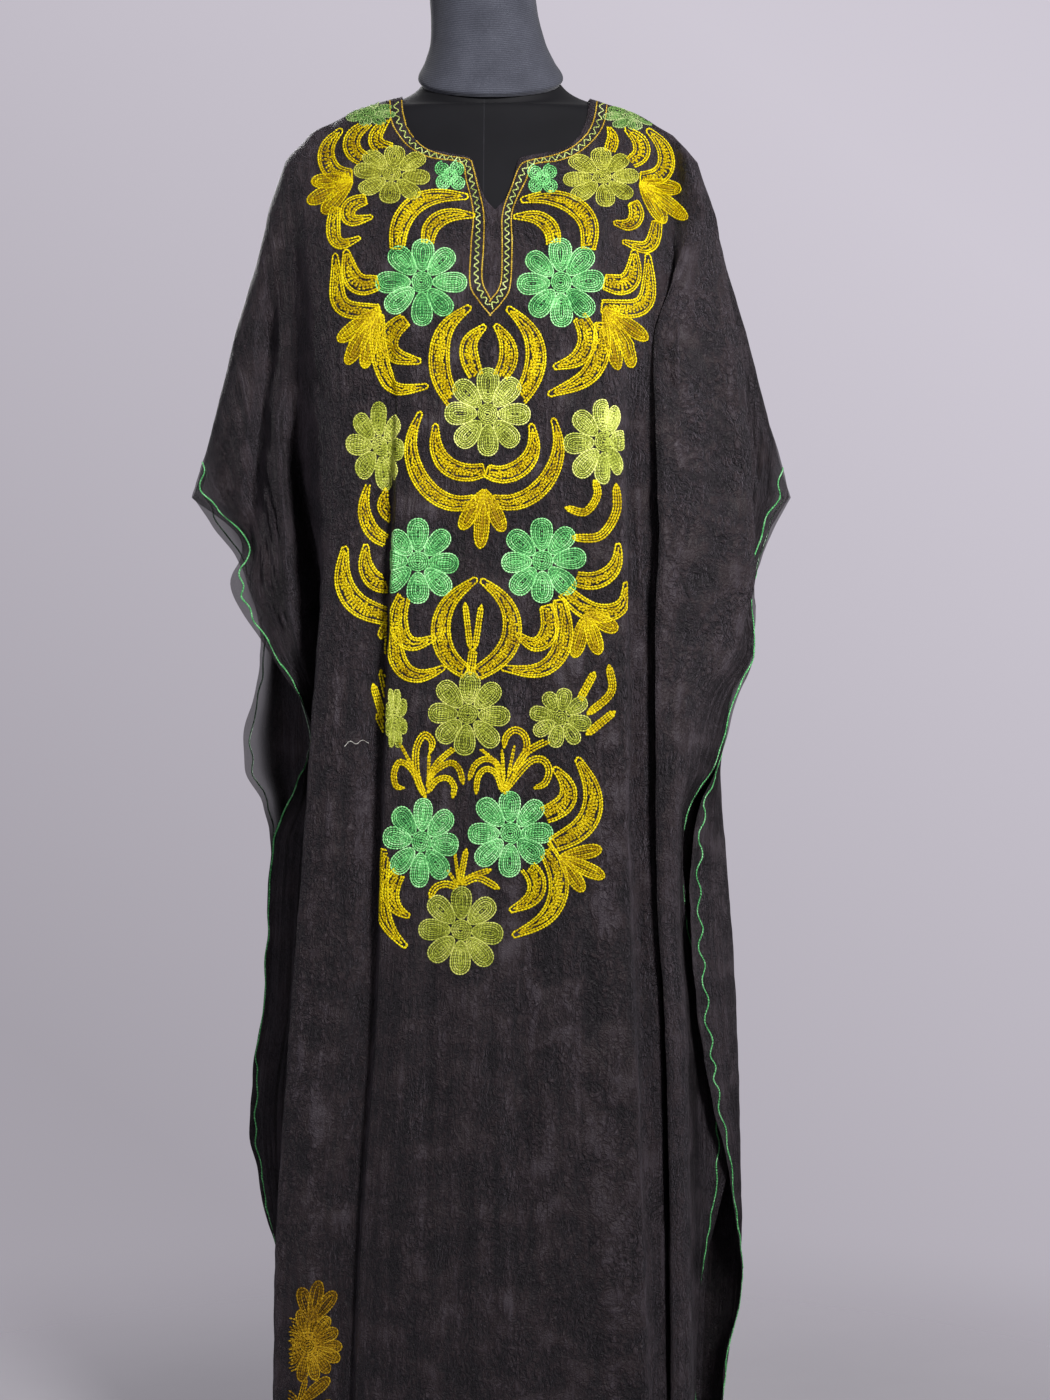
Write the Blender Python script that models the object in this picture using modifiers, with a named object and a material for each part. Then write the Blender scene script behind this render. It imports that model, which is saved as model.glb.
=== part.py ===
# Black crepe kaftan hanging on a limbless dress form with a neck block, pole and round base.
# Metres, +Z up. The wearer's front faces -Y, and +X is to the right of someone looking at it.
# The origin is on the floor, under the middle of the form. The tables below are in millimetres.

from collections import namedtuple
from math import cos, hypot, pi, sin

import bmesh
import bpy
from mathutils import Vector
from mathutils.bvhtree import BVHTree

MM = 0.001

# The cloth
WALL = 1.2
SEAM_GAP = 0.3
REST_GAP = 0.6  # between the form and the cloth that lies on it
SETTLE_ROUNDS = 14
SETTLE_SAMPLES = 4
SETTLE_NEAR = 40.0
HEM = 62.0  # the level hem's height over the floor
PATH_STEPS = 160
ROUND_OVER = 42.0  # the drop in which a sleeve turns over its top fold
RIDGE_ROUND = 5.0  # and the drop in which the cloth on the shoulder does
TOP_EASE = 120.0  # the drop in which a path comes from its top to its threads' places
FRONT_ROWS = 32
BACK_ROWS = 26
ROW_POWER = 1.5  # rows lie closer near the shoulders

# The top fold of a sleeve, from the neck over the shoulder to the cuff corner, for both sides
ShoulderPoint = namedtuple("ShoulderPoint", "out height")
SHOULDER = (
    ShoulderPoint(98, 1470),
    ShoulderPoint(154, 1452),
    ShoulderPoint(190, 1431),
    ShoulderPoint(214, 1402),
    ShoulderPoint(230, 1356),
    ShoulderPoint(244, 1298),
    ShoulderPoint(267, 1222),
    ShoulderPoint(291, 1128),
    ShoulderPoint(313, 1052),
)
NECK_HALF = SHOULDER[0].out
SHOULDER_END = 215.0  # how far out the top fold lies on the form; beyond it the sleeve hangs
NECK_SHIFT = 5.0  # the neck hole sits a little towards +X

# The necklines, from the middle outwards: a round scoop with a narrow slit at the front, a shallow
# curve at the back. Each point starts one line of mesh, which lower down hangs at its thread's place.
# The last point of the front one is the foot of its steep side, whose line of mesh starts on the
# shoulder and runs down along the neck's edge.
NeckPoint = namedtuple("NeckPoint", "thread out height")
FRONT_NECK = (
    NeckPoint(0, 0, 1334),
    NeckPoint(9, 10, 1346),
    NeckPoint(18, 17, 1365),
    NeckPoint(30, 25, 1391),
    NeckPoint(46, 47, 1397),
    NeckPoint(62, 70, 1403),
    NeckPoint(80, 87, 1419),
)
SidePoint = namedtuple("SidePoint", "out height")
FRONT_NECK_SIDE = (
    SidePoint(NECK_HALF, 1470),
    SidePoint(97, 1462),
    SidePoint(95.5, 1450),
    SidePoint(93, 1435),
    SidePoint(87, 1419),
)
SHOULDER_FAN = 10.0  # beside the neck's corner, lines of mesh start this much further out
FAN_END = 150.0
BACK_NECK = (
    NeckPoint(0, 0, 1442),
    NeckPoint(36, 40, 1445),
    NeckPoint(62, 70, 1452),
    NeckPoint(80, 86, 1460),
    NeckPoint(89, 93, 1465.5),
    NeckPoint(NECK_HALF, NECK_HALF, 1470),
)
NECK_ROWS_DROP = 1.6  # below the neckline the rows lie this close until they meet the level ones

# A thread is a line of the cloth that hangs from the neckline or the top fold. It has a name, its
# distance from the middle along the top, the cells of mesh up to the next thread, and a row for
# each height where its place is set. They run from -X to +X.
Thread = namedtuple("Thread", "name top cells rows")
At = namedtuple("At", "height x y")

FRONT_THREADS = (
    Thread("left free edge", -600, 3, (
        At(999, -258, -14), At(963, -270, -24), At(901, -236, -54), At(840, -194, -82),
        At(805, -182, -88), At(745, -206, -14), At(690, -230, 4), At(525, -241, 8),
        At(402, -254, 5), At(315, -240, 5), At(250, -224, 5), At(HEM, -215, 5),
    )),
    Thread("left wing", -440, 3, (
        At(1046, -238, -42), At(999, -229, -52), At(960, -226, -54), At(890, -206, -64),
        At(840, -189, -62), At(745, -190, -6), At(690, -203, -4), At(525, -212, -3),
        At(402, -225, -5),
        At(HEM, -205, -4),
    )),
    Thread("left sleeve ridge", -300, 3, (
        At(1200, -219, -50), At(1100, -216, -56), At(960, -207, -62), At(890, -194, -66),
        At(840, -183, -46), At(745, -178, -5), At(600, -190, -5), At(402, -205, -5),
        At(HEM, -200, -5),
    )),
    Thread("left inner seam", -235, 4, (
        At(1276, -203, -58), At(1175, -199, -52), At(1100, -202, -30), At(1060, -200, -8),
        At(1000, -186, -1), At(900, -172, -1), At(805, -166, -1), At(600, -176, -1),
        At(402, -190, -1), At(HEM, -195, -1),
    )),
    Thread("left body fold", -200, 3, (
        At(1340, -186, -70), At(1250, -180, -92), At(1150, -173, -100), At(1000, -168, -107),
        At(836, -177, -118), At(690, -187, -122), At(440, -205, -127), At(290, -214, -130),
        At(HEM, -217, -132),
    )),
    Thread("left body", -160, 3, (
        At(1340, -146, -92), At(1250, -145, -114), At(1150, -144, -122), At(1000, -142, -125),
        At(836, -146, -131), At(540, -154, -137), At(290, -168, -142), At(HEM, -172, -145),
    )),
    Thread("left panel valley", -118, 1, (
        At(1340, -106, -98), At(1200, -99, -129), At(1120, -97, -131), At(1000, -100, -120),
        At(836, -105, -116), At(690, -110, -117), At(540, -115, -124), At(290, -131, -136),
        At(HEM, -140, -142),
    )),
    Thread("left panel ridge", -98, 0, (
        At(1340, -93, -102), At(1200, -91, -134), At(1120, -90, -140), At(1000, -94, -141),
        At(836, -100, -141), At(690, -105, -142), At(540, -110, -146), At(290, -126, -152),
        At(HEM, -134, -155),
    )),
    Thread("middle", 0, 0, (
        At(1470, 5, -46), At(1400, 5, -73), At(1334, 4, -98), At(1220, 0, -143),
        At(1040, -8, -147), At(880, -19, -149), At(720, -25, -151), At(500, -32, -155),
        At(280, -36, -160), At(HEM, -40, -164),
    )),
    Thread("right neck", 98, 2, (
        At(1340, 100, -98), At(1220, 98, -131), At(1040, 96, -141), At(880, 92, -143),
        At(720, 90, -145), At(500, 90, -149), At(280, 94, -156), At(HEM, 98, -160),
    )),
    Thread("right panel ridge", 128, 1, (
        At(1340, 124, -91), At(1200, 128, -121), At(1120, 131, -132), At(1000, 134, -136),
        At(836, 136, -138), At(690, 138, -140), At(540, 142, -144), At(290, 151, -151),
        At(HEM, 160, -155),
    )),
    Thread("right panel valley", 140, 3, (
        At(1340, 134, -87), At(1200, 137, -115), At(1120, 136, -113), At(1000, 138, -110),
        At(836, 140, -110), At(690, 142, -112), At(540, 146, -116), At(290, 155, -124),
        At(HEM, 164, -130),
    )),
    Thread("right body", 172, 4, (
        At(1340, 165, -72), At(1258, 166, -88), At(1206, 162, -97), At(1113, 164, -100),
        At(980, 166, -98), At(760, 165, -98), At(490, 172, -98), At(HEM, 180, -100),
    )),
    Thread("right inner seam", 195, 4, (
        At(1320, 187, -48), At(1290, 189, -56), At(1240, 191, -66), At(1175, 189, -66),
        At(1100, 200, -36),
        At(1060, 204, -10),
        At(1000, 196, -1), At(900, 186, -1), At(700, 176, -1), At(500, 181, -1),
        At(HEM, 189, -1),
    )),
    Thread("right sleeve fold", 222, 3, (
        At(1340, 205, -52), At(1318, 200, -64), At(1258, 186, -88), At(1206, 177, -102),
        At(1113, 179, -116),
        At(980, 182, -122), At(760, 182, -122), At(650, 184, -118), At(490, 194, -113),
        At(HEM, 200, -112),
    )),
    Thread("right wing fold", 268, 2, (
        At(1310, 236, -42), At(1218, 252, -54), At(1103, 266, -62), At(983, 270, -66),
        At(895, 252, -78), At(840, 216, -96), At(773, 202, -106), At(723, 191, -112),
        At(680, 190, -105), At(600, 192, -88), At(480, 199, -84), At(HEM, 205, -80),
    )),
    Thread("right wing tuck", 330, 2, (
        At(1218, 248, -26), At(1103, 256, -32), At(983, 260, -40), At(895, 260, -70),
        At(840, 228, -89), At(773, 212, -99), At(723, 193, -106), At(680, 192, -92),
        At(600, 194, -62), At(480, 202, -50), At(HEM, 208, -50),
    )),
    Thread("right wing", 460, 2, (
        At(1103, 274, -20), At(1044, 268, -28), At(983, 264, -36), At(895, 266, -64),
        At(840, 239, -82), At(773, 220, -92), At(723, 195, -100), At(680, 193, -80),
        At(600, 197, -40), At(480, 214, -22), At(276, 214, -22), At(HEM, 210, -28),
    )),
    Thread("right free edge", 600, 0, (
        At(1015, 286, -18), At(960, 270, -38), At(895, 270, -57), At(840, 250, -75),
        At(773, 229, -85), At(723, 198, -94), At(680, 196, -68), At(600, 208, -27),
        At(480, 238, -12), At(355, 246, -10), At(276, 230, -10), At(185, 214, -10),
        At(HEM, 211, -8),
    )),
)

BACK_THREADS = (
    Thread("left free edge", -600, 3, (
        At(980, -266, 20), At(903, -243, 18), At(850, -251, 15), At(798, -261, 12),
        At(766, -259, 8), At(732, -240, 4), At(700, -236, 24), At(645, -234, 30),
        At(560, -226, 34), At(402, -234, 34), At(HEM, -215, 32),
    )),
    Thread("left wing", -440, 3, (
        At(1100, -262, 30), At(1000, -240, 42), At(903, -224, 40), At(798, -222, 38),
        At(700, -214, 42), At(560, -212, 48), At(402, -218, 48), At(HEM, -208, 44),
    )),
    Thread("left wing valley", -320, 3, (
        At(1200, -230, 46), At(1100, -226, 52), At(1000, -212, 40), At(903, -200, 30),
        At(798, -192, 24), At(600, -194, 24), At(402, -203, 24), At(HEM, -202, 24),
    )),
    Thread("left inner seam", -245, 4, (
        At(1276, -208, 60), At(1175, -203, 54), At(1100, -202, 30), At(1060, -200, 8),
        At(1000, -186, 1), At(900, -172, 1), At(805, -166, 1), At(600, -176, 1),
        At(402, -190, 1), At(HEM, -195, 1),
    )),
    Thread("left back fold", -200, 4, (
        At(1340, -176, 78), At(1200, -168, 92), At(1000, -162, 98), At(800, -166, 104),
        At(500, -180, 110), At(HEM, -192, 116),
    )),
    Thread("left back valley", -150, 4, (
        At(1340, -126, 94), At(1200, -118, 102), At(1000, -114, 104), At(800, -116, 110),
        At(500, -124, 112), At(HEM, -134, 114),
    )),
    Thread("left back ridge", -98, 0, (
        At(1340, -78, 106), At(1200, -72, 118), At(1000, -70, 122), At(800, -70, 130),
        At(500, -74, 136), At(HEM, -82, 144),
    )),
    Thread("back middle", 0, 0, (
        At(1470, 5, 46), At(1400, 3, 80), At(1340, 0, 106), At(1200, 0, 114),
        At(1000, -2, 116), At(800, -3, 120), At(500, -4, 124), At(HEM, -6, 128),
    )),
    Thread("right back ridge", 98, 4, (
        At(1340, 78, 106), At(1200, 74, 118), At(1000, 72, 122), At(800, 74, 130),
        At(500, 78, 136), At(HEM, 88, 144),
    )),
    Thread("right back valley", 150, 4, (
        At(1340, 128, 94), At(1200, 122, 102), At(1000, 118, 104), At(800, 120, 110),
        At(500, 128, 112), At(HEM, 138, 114),
    )),
    Thread("right back fold", 195, 4, (
        At(1340, 178, 78), At(1200, 170, 92), At(1000, 166, 98), At(800, 168, 104),
        At(500, 180, 110), At(HEM, 194, 116),
    )),
    Thread("right inner seam", 235, 3, (
        At(1276, 206, 62), At(1175, 202, 58), At(1100, 202, 34), At(1060, 204, 10),
        At(1000, 196, 1), At(900, 186, 1), At(700, 176, 1), At(500, 181, 1),
        At(HEM, 189, 1),
    )),
    Thread("right wing valley", 340, 3, (
        At(1200, 244, 44), At(1100, 244, 56), At(1000, 236, 58), At(900, 226, 56),
        At(771, 222, 52), At(608, 226, 54), At(430, 232, 56), At(HEM, 222, 54),
    )),
    Thread("right wing fold", 450, 5, (
        At(1100, 282, 22), At(1000, 274, 34), At(900, 262, 36), At(830, 250, 22),
        At(771, 240, 4), At(685, 246, 0), At(512, 257, 0), At(312, 262, 6),
        At(220, 257, 12), At(HEM, 236, 18),
    )),
    Thread("right free edge", 600, 0, (
        At(990, 284, 20), At(900, 262, 12), At(830, 247, -22), At(771, 232, -46),
        At(732, 214, -56), At(696, 206, -58), At(619, 204, -58), At(533, 210, -50),
        At(430, 227, -42), At(377, 242, -30), At(337, 250, -18), At(220, 262, 0),
        At(164, 250, 4), At(HEM, 238, 8),
    )),
)

# Soft troughs run across the threads: a line in the front view, its half width and its depth.
Trough = namedtuple("Trough", "x_top z_top x_foot z_foot half_width depth")
FRONT_TROUGHS = (
    Trough(-221, 1290, -250, 1004, 15, 20),
    Trough(228, 1190, 246, 1010, 16, 12),
    Trough(-40, 1120, -60, 300, 26, 6),
    Trough(40, 1020, 30, 200, 24, 6),
)
BACK_TROUGHS = (
    Trough(-236, 1290, -252, 1010, 16, 14),
    Trough(238, 1280, 256, 1000, 16, 14),
)

# The form's torso: level ovals, by height, half width, depth to the front and depth to the back
Oval = namedtuple("Oval", "height half front back")
TORSO = (
    Oval(728, 148, 92, 100),
    Oval(742, 158, 100, 110),
    Oval(880, 164, 104, 118),
    Oval(1050, 124, 88, 84),
    Oval(1150, 132, 112, 88),
    Oval(1225, 146, 132, 94),
    Oval(1300, 158, 112, 98),
    Oval(1360, 176, 88, 90),
    Oval(1400, 184, 71, 74),
    Oval(1424, 180, 60, 63),
    Oval(1438, 168, 54, 57),
    Oval(1450, 152, 50, 52),
    Oval(1460, 126, 48, 50),
    Oval(1468.5, 95, 47, 48),
    Oval(1476, 80, 47, 47),
    Oval(1484, 72, 47, 47),
)
TORSO_RINGS = 26
TORSO_SIDES = 36
OVAL_POWER = 2.3

# The throat slopes: from this height up, the torso and the neck block lean down to the front
THROAT_FOOT = 1448.0
THROAT_SLOPE = 0.49

# The neck block: an oval drum with a rim, which stands a little to -X at its top
NeckOval = namedtuple("NeckOval", "height half depth shift lean")
NECK_BLOCK = (
    NeckOval(1484.3, 72, 51, -1, 1.0),
    NeckOval(1491, 76, 56, -1, 1.0),
    NeckOval(1508, 68, 53, -2, 0.85),
    NeckOval(1530, 60, 50, -4, 0.55),
    NeckOval(1562, 56, 49, -8, 0.15),
    NeckOval(1600, 55, 48, -11, 0.0),
    NeckOval(1606, 51, 44, -11, 0.0),
)
NECK_SIDES = 32
NECK_RINGS = 12

# The stand
POLE_RADIUS = 16.0
COLLAR_RADIUS = 27.0
COLLAR_HEIGHT = 46.0
BASE_RADIUS = 170.0
BASE_HEIGHT = 18.0
BASE_ROUND = 5.0
STAND_GAP = 0.3
ROUND_SIDES = 48


def distance_between(a, b):
    return sum((q - p) ** 2 for p, q in zip(a, b)) ** 0.5


def lerp(a, b, t):
    return a + (b - a) * t


def smooth(t):
    t = min(1.0, max(0.0, t))
    return t * t * (3 - 2 * t)


def spline(knots, values, at):
    """A curve through the values, whose slopes never overshoot a flat stretch."""
    if at <= knots[0]:
        return values[0]
    if at >= knots[-1]:
        return values[-1]
    i = max(k for k in range(len(knots) - 1) if knots[k] <= at)
    spans = [knots[k + 1] - knots[k] for k in range(len(knots) - 1)]
    slopes = [(values[k + 1] - values[k]) / spans[k] for k in range(len(spans))]

    def tangent(k):
        if k == 0:
            return slopes[0]
        if k == len(slopes):
            return slopes[-1]
        before, after = slopes[k - 1], slopes[k]
        if before * after <= 0:
            return 0.0
        return 2 * before * after / (before + after)

    h = spans[i]
    t = (at - knots[i]) / h
    t2, t3 = t * t, t * t * t
    return (
        (2 * t3 - 3 * t2 + 1) * values[i]
        + (t3 - 2 * t2 + t) * h * tangent(i)
        + (3 * t2 - 2 * t3) * values[i + 1]
        + (t3 - t2) * h * tangent(i + 1)
    )


def column(rows, name):
    return [getattr(row, name) for row in rows]


def torso_oval(height):
    """Half width, front depth and back depth of the torso at a height; nothing above its top."""
    if height > TORSO[-1].height:
        return None
    knots = column(TORSO, "height")
    return [spline(knots, column(TORSO, name), height) for name in ("half", "front", "back")]


def torso_depth(x, height, side):
    """How far the torso reaches at x towards the front (-1) or the back (+1)."""
    oval = torso_oval(height)
    if oval is None or abs(x) >= oval[0]:
        return 0.0
    depth = oval[1] if side < 0 else oval[2]
    return depth * (1 - (abs(x) / oval[0]) ** OVAL_POWER) ** (1 / OVAL_POWER)


def top_fold(distance):
    """The point of the top fold at a distance from the middle, measured over the shoulder."""
    side = 1 if distance > 0 else -1
    left = abs(distance) - NECK_HALF
    for a, b in zip(SHOULDER, SHOULDER[1:]):
        length = hypot(b.out - a.out, b.height - a.height)
        if left <= length:
            break
        left -= length
    t = left / length
    shift = NECK_SHIFT * (1 - smooth((abs(distance) - NECK_HALF) / NECK_HALF))
    return side * lerp(a.out, b.out, t) + shift, lerp(a.height, b.height, t)


def top_of(distance, neckline):
    """Where a thread starts: on the neckline, or on the top fold beyond it."""
    if abs(distance) >= NECK_HALF:
        return top_fold(distance)
    threads = column(neckline, "thread")
    out = spline(threads, column(neckline, "out"), abs(distance))
    height = spline(threads, column(neckline, "height"), abs(distance))
    return (out if distance > 0 else -out) + NECK_SHIFT, height


def rest_on_form(x, y, height, side):
    """Moves a point of the cloth out to the form, if it would lie inside it."""
    reach = torso_depth(x, height, side)
    if reach <= 0:
        return y
    least = reach + REST_GAP + WALL / 2
    out = side * y
    soft = 6.0
    if out > least + soft:
        return y
    if out < least - soft:
        return side * least
    blend = (out - least + soft) / (2 * soft)
    return side * (least + soft * blend * blend)


def bent_inwards(x, y, height, side, troughs):
    """Presses the troughs into a point of the cloth."""
    for trough in troughs:
        t = (trough.z_top - height) / (trough.z_top - trough.z_foot)
        if not 0 < t < 1:
            continue
        across = abs(x - lerp(trough.x_top, trough.x_foot, t)) / trough.half_width
        if across < 1:
            ends = smooth(t / 0.25) * smooth((1 - t) / 0.2)
            y -= side * trough.depth * ends * (0.5 + 0.5 * cos(pi * across))
    return y


class Panel:
    """One cut piece of cloth, front (side -1) or back (side +1), as paths that run down it."""

    def __init__(self, threads, neckline, neck_side, side, troughs):
        self.threads = threads
        self.neckline = neckline
        self.neck_side = neck_side
        self.side = side
        self.troughs = troughs
        self.tops = column(threads, "top")
        self.rows = [self.rows_of(thread) for thread in threads]
        self.drops = [[-row.height for row in rows] for rows in self.rows]

    def rows_of(self, thread):
        """The thread's rows with its start on the top fold before them."""
        if abs(thread.top) < NECK_HALF:
            return thread.rows
        x_top, z_top = top_fold(thread.top)
        rows = tuple(row for row in thread.rows if row.height < z_top - 8)
        y_top = rows[0].y * smooth((abs(thread.top) - SHOULDER_END + 30) / 40)
        return (At(z_top, x_top, y_top),) + rows

    def place(self, name, distance, height):
        """x or y of the cloth at a distance from its middle and a height."""
        values = [
            spline(drops, column(rows, name), -height)
            for drops, rows in zip(self.drops, self.rows)
        ]
        return spline(self.tops, values, distance)

    def start(self, distance):
        """Where the line of mesh that hangs at a distance starts, on the top fold."""
        if not self.neck_side or abs(distance) < NECK_HALF:
            return distance
        fan = SHOULDER_FAN * (1 - smooth((abs(distance) - NECK_HALF) / (FAN_END - NECK_HALF)))
        return distance + (fan if distance > 0 else -fan)

    def along_neck_side(self, height):
        """How far out the neck's steep side is at a height."""
        drops = [-point.height for point in self.neck_side]
        return spline(drops, column(self.neck_side, "out"), -height)

    def path(self, distance):
        """The line of cloth that hangs from one place of the top, as points and their lengths."""
        is_side = self.neck_side and abs(distance) == self.neckline[-1].thread
        on_fold = abs(distance) >= NECK_HALF or is_side
        start = self.start(distance)
        if is_side:
            start = NECK_HALF if distance > 0 else -NECK_HALF
        x_top, z_top = top_fold(start) if on_fold else top_of(distance, self.neckline)
        over_arm = smooth((abs(distance) - SHOULDER_END + 30) / 40)
        miss = x_top - self.place("x", start, z_top)
        y_top = self.side * (SEAM_GAP + WALL) / 2
        points, lengths = [], [0.0]
        for k in range(PATH_STEPS + 1):
            z = lerp(z_top, HEM, (k / PATH_STEPS) ** 1.5)
            ease = smooth((z_top - z) / TOP_EASE)
            here = lerp(start, distance, ease)
            if is_side:
                foot = self.neck_side[-1]
                out = self.along_neck_side(z)
                here = lerp(out, abs(distance), smooth((foot.height - z) / TOP_EASE))
                here = here if distance > 0 else -here
            x = self.place("x", here, z) + miss * (1 - ease)
            y = bent_inwards(x, self.place("y", here, z), z, self.side, self.troughs)
            over = min(1.0, (z_top - z) / lerp(RIDGE_ROUND, ROUND_OVER, over_arm))
            if on_fold and over < 1:
                y = lerp(y_top, y, (1 - (1 - over) ** 2) ** 0.5)
            if k or not on_fold:
                y = rest_on_form(x, y, z, self.side)
            points.append((x, y, z))
            if k:
                lengths.append(lengths[-1] + distance_between(points[-2], points[-1]))
        return points, lengths

    def columns(self):
        """The distances from the middle at which the mesh has a line of points."""
        found = []
        for thread, after in zip(self.threads, self.threads[1:]):
            found.append(thread.top)
            if thread.cells:
                step = (after.top - thread.top) / thread.cells
                found += [thread.top + step * k for k in range(1, thread.cells)]
            else:
                inner = [point.thread for point in self.neckline[1:] if point.thread < NECK_HALF]
                found += [-top for top in reversed(inner)] if thread.top < 0 else inner
        return found + [self.threads[-1].top]

    def grid(self, row_count):
        """Lines of points down the panel, cut at the same shares of their length, or at the
        neck side's heights where they start on the neckline. None stands above the neckline."""
        shares = [(k / row_count) ** ROW_POWER for k in range(row_count + 1)]
        levels = [along(self.path(NECK_HALF), share)[2] for share in shares]
        first = max(0, len(self.neck_side) - 1)
        levels[:first + 1] = column(self.neck_side, "height") or levels[:1]
        lines = []
        for distance in self.columns():
            path = self.path(distance)
            if abs(distance) >= NECK_HALF:
                lines.append([along(path, share) for share in shares])
                continue
            if self.neck_side and abs(distance) == self.neckline[-1].thread:
                lines.append([at_height(path[0], z) for z in levels])
                continue
            top = path[0][0][2]
            heights = [min(z, top - (k - first) * NECK_ROWS_DROP) for k, z in enumerate(levels)]
            line = [at_height(path[0], z) for z in heights]
            lines.append([None] * first + line[first:])
        return lines


def along(path, share):
    points, lengths = path
    at = share * lengths[-1]
    k = min(max(1, sum(length < at for length in lengths)), len(points) - 1)
    t = (at - lengths[k - 1]) / (lengths[k] - lengths[k - 1])
    return tuple(lerp(a, b, t) for a, b in zip(points[k - 1], points[k]))


def at_height(points, height):
    k = min(max(1, sum(point[2] > height for point in points)), len(points) - 1)
    a, b = points[k - 1], points[k]
    t = (a[2] - height) / (a[2] - b[2])
    return tuple(lerp(p, q, t) for p, q in zip(a, b))


def clear_scene():
    for obj in list(bpy.data.objects):
        bpy.data.objects.remove(obj, do_unlink=True)


def material(name, colour, roughness, sheen=0.0):
    made = bpy.data.materials.new(name)
    made.use_nodes = True
    shader = made.node_tree.nodes["Principled BSDF"]
    shader.inputs["Base Color"].default_value = (*colour, 1.0)
    shader.inputs["Roughness"].default_value = roughness
    shader.inputs["Sheen Weight"].default_value = sheen
    return made


def add_object(name, mesh, finish, collection):
    mesh.materials.append(finish)
    obj = bpy.data.objects.new(name, mesh)
    collection.objects.link(obj)
    return obj


def loft(name, lines, closed, finish, collection):
    """A mesh through lines of points; closed joins the last line to the first and caps the ends."""
    bm = bmesh.new()
    made = [
        [point and bm.verts.new([c * MM for c in point]) for point in line] for line in lines
    ]
    for k in range(len(made) - (not closed)):
        a, b = made[k], made[(k + 1) % len(made)]
        for i in range(len(a) - 1):
            if a[i] and b[i]:
                bm.faces.new((a[i], a[i + 1], b[i + 1], b[i]))
    if closed:
        bm.faces.new([line[0] for line in made])
        bm.faces.new([line[-1] for line in made])
    bmesh.ops.recalc_face_normals(bm, faces=bm.faces[:])
    mesh = bpy.data.meshes.new(name)
    bm.to_mesh(mesh)
    bm.free()
    mesh.shade_smooth()
    return add_object(name, mesh, finish, collection)


def settle(lines, form):
    """Moves the cloth's points out until samples of every cell clear the form."""
    need = WALL / 2 + REST_GAP
    lines = [[point and Vector(point) for point in line] for line in lines]
    steps = [k / SETTLE_SAMPLES for k in range(SETTLE_SAMPLES + 1)]
    weights = [((1 - s) * (1 - t), (1 - s) * t, s * t, s * (1 - t)) for s in steps for t in steps]
    for _ in range(SETTLE_ROUNDS):
        pushes = {}
        for i in range(len(lines) - 1):
            for k in range(len(lines[0]) - 1):
                corners = ((i, k), (i, k + 1), (i + 1, k + 1), (i + 1, k))
                cell = [lines[a][b] for a, b in corners]
                if not all(cell) or form.find_nearest(cell[0] * MM)[3] > SETTLE_NEAR * MM:
                    continue
                for shares in weights:
                    point = sum((c * w for c, w in zip(cell, shares)), Vector())
                    near, normal, _face, distance = form.find_nearest(point * MM)
                    off = distance / MM * (1 if (point * MM - near).dot(normal) > 0 else -1)
                    if off >= need:
                        continue
                    total = sum(w * w for w in shares)
                    for corner, w in zip(corners, shares):
                        push = normal * ((need - off) * w / total)
                        if corner not in pushes or pushes[corner].length < push.length:
                            pushes[corner] = push
        for (i, k), push in pushes.items():
            lines[i][k] += push
    return [[point and tuple(point) for point in line] for line in lines]


def add_cloth(name, panel, row_count, form, finish, collection):
    obj = loft(name, settle(panel.grid(row_count), form), False, finish, collection)
    wall = obj.modifiers.new("Wall", "SOLIDIFY")
    wall.thickness = WALL * MM
    wall.offset = 0.0
    return obj


def oval_ring(half, front, back, power, share):
    """A point of a level oval whose front and back depths differ."""
    angle = 2 * pi * share
    c, s = cos(angle), sin(angle)
    x = half * abs(c) ** (2 / power) * (1 if c >= 0 else -1)
    depth = back if s >= 0 else front
    return x, depth * abs(s) ** (2 / power) * (1 if s >= 0 else -1)


def add_torso(finish, collection):
    low, high = TORSO[0].height, TORSO[-1].height
    heights = [lerp(low, high, 1 - (1 - k / TORSO_RINGS) ** 1.7) for k in range(TORSO_RINGS + 1)]
    lines = []
    for side in range(TORSO_SIDES):
        line = []
        for height in heights:
            x, y = oval_ring(*torso_oval(height), OVAL_POWER, side / TORSO_SIDES)
            lean = smooth((height - THROAT_FOOT) / (high - THROAT_FOOT))
            line.append((x, y, height + THROAT_SLOPE * lean * y))
        lines.append(line)
    return loft("form_torso", lines, True, finish, collection)


def add_neck_block(finish, collection):
    """The block's foot follows the throat's slope, so its rim dips at the front."""
    knots = column(NECK_BLOCK, "height")
    lines = []
    for side in range(NECK_SIDES):
        line = []
        for k in range(NECK_RINGS + 1):
            height = lerp(knots[0], knots[-1], (k / NECK_RINGS) ** 1.4)
            half, depth, shift, lean = (
                spline(knots, column(NECK_BLOCK, name), height)
                for name in ("half", "depth", "shift", "lean")
            )
            x, y = oval_ring(half, depth, depth, 2.0, side / NECK_SIDES)
            line.append((x + shift, y, height + THROAT_SLOPE * lean * y))
        lines.append(line)
    return loft("form_neck", lines, True, finish, collection)


def add_round(name, radius, low, high, finish, collection):
    bm = bmesh.new()
    bmesh.ops.create_cone(
        bm, cap_ends=True, segments=ROUND_SIDES, radius1=radius * MM, radius2=radius * MM,
        depth=(high - low) * MM,
    )
    mesh = bpy.data.meshes.new(name)
    bm.to_mesh(mesh)
    bm.free()
    obj = add_object(name, mesh, finish, collection)
    obj.location = (0, 0, (low + high) / 2 * MM)
    return obj


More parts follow.
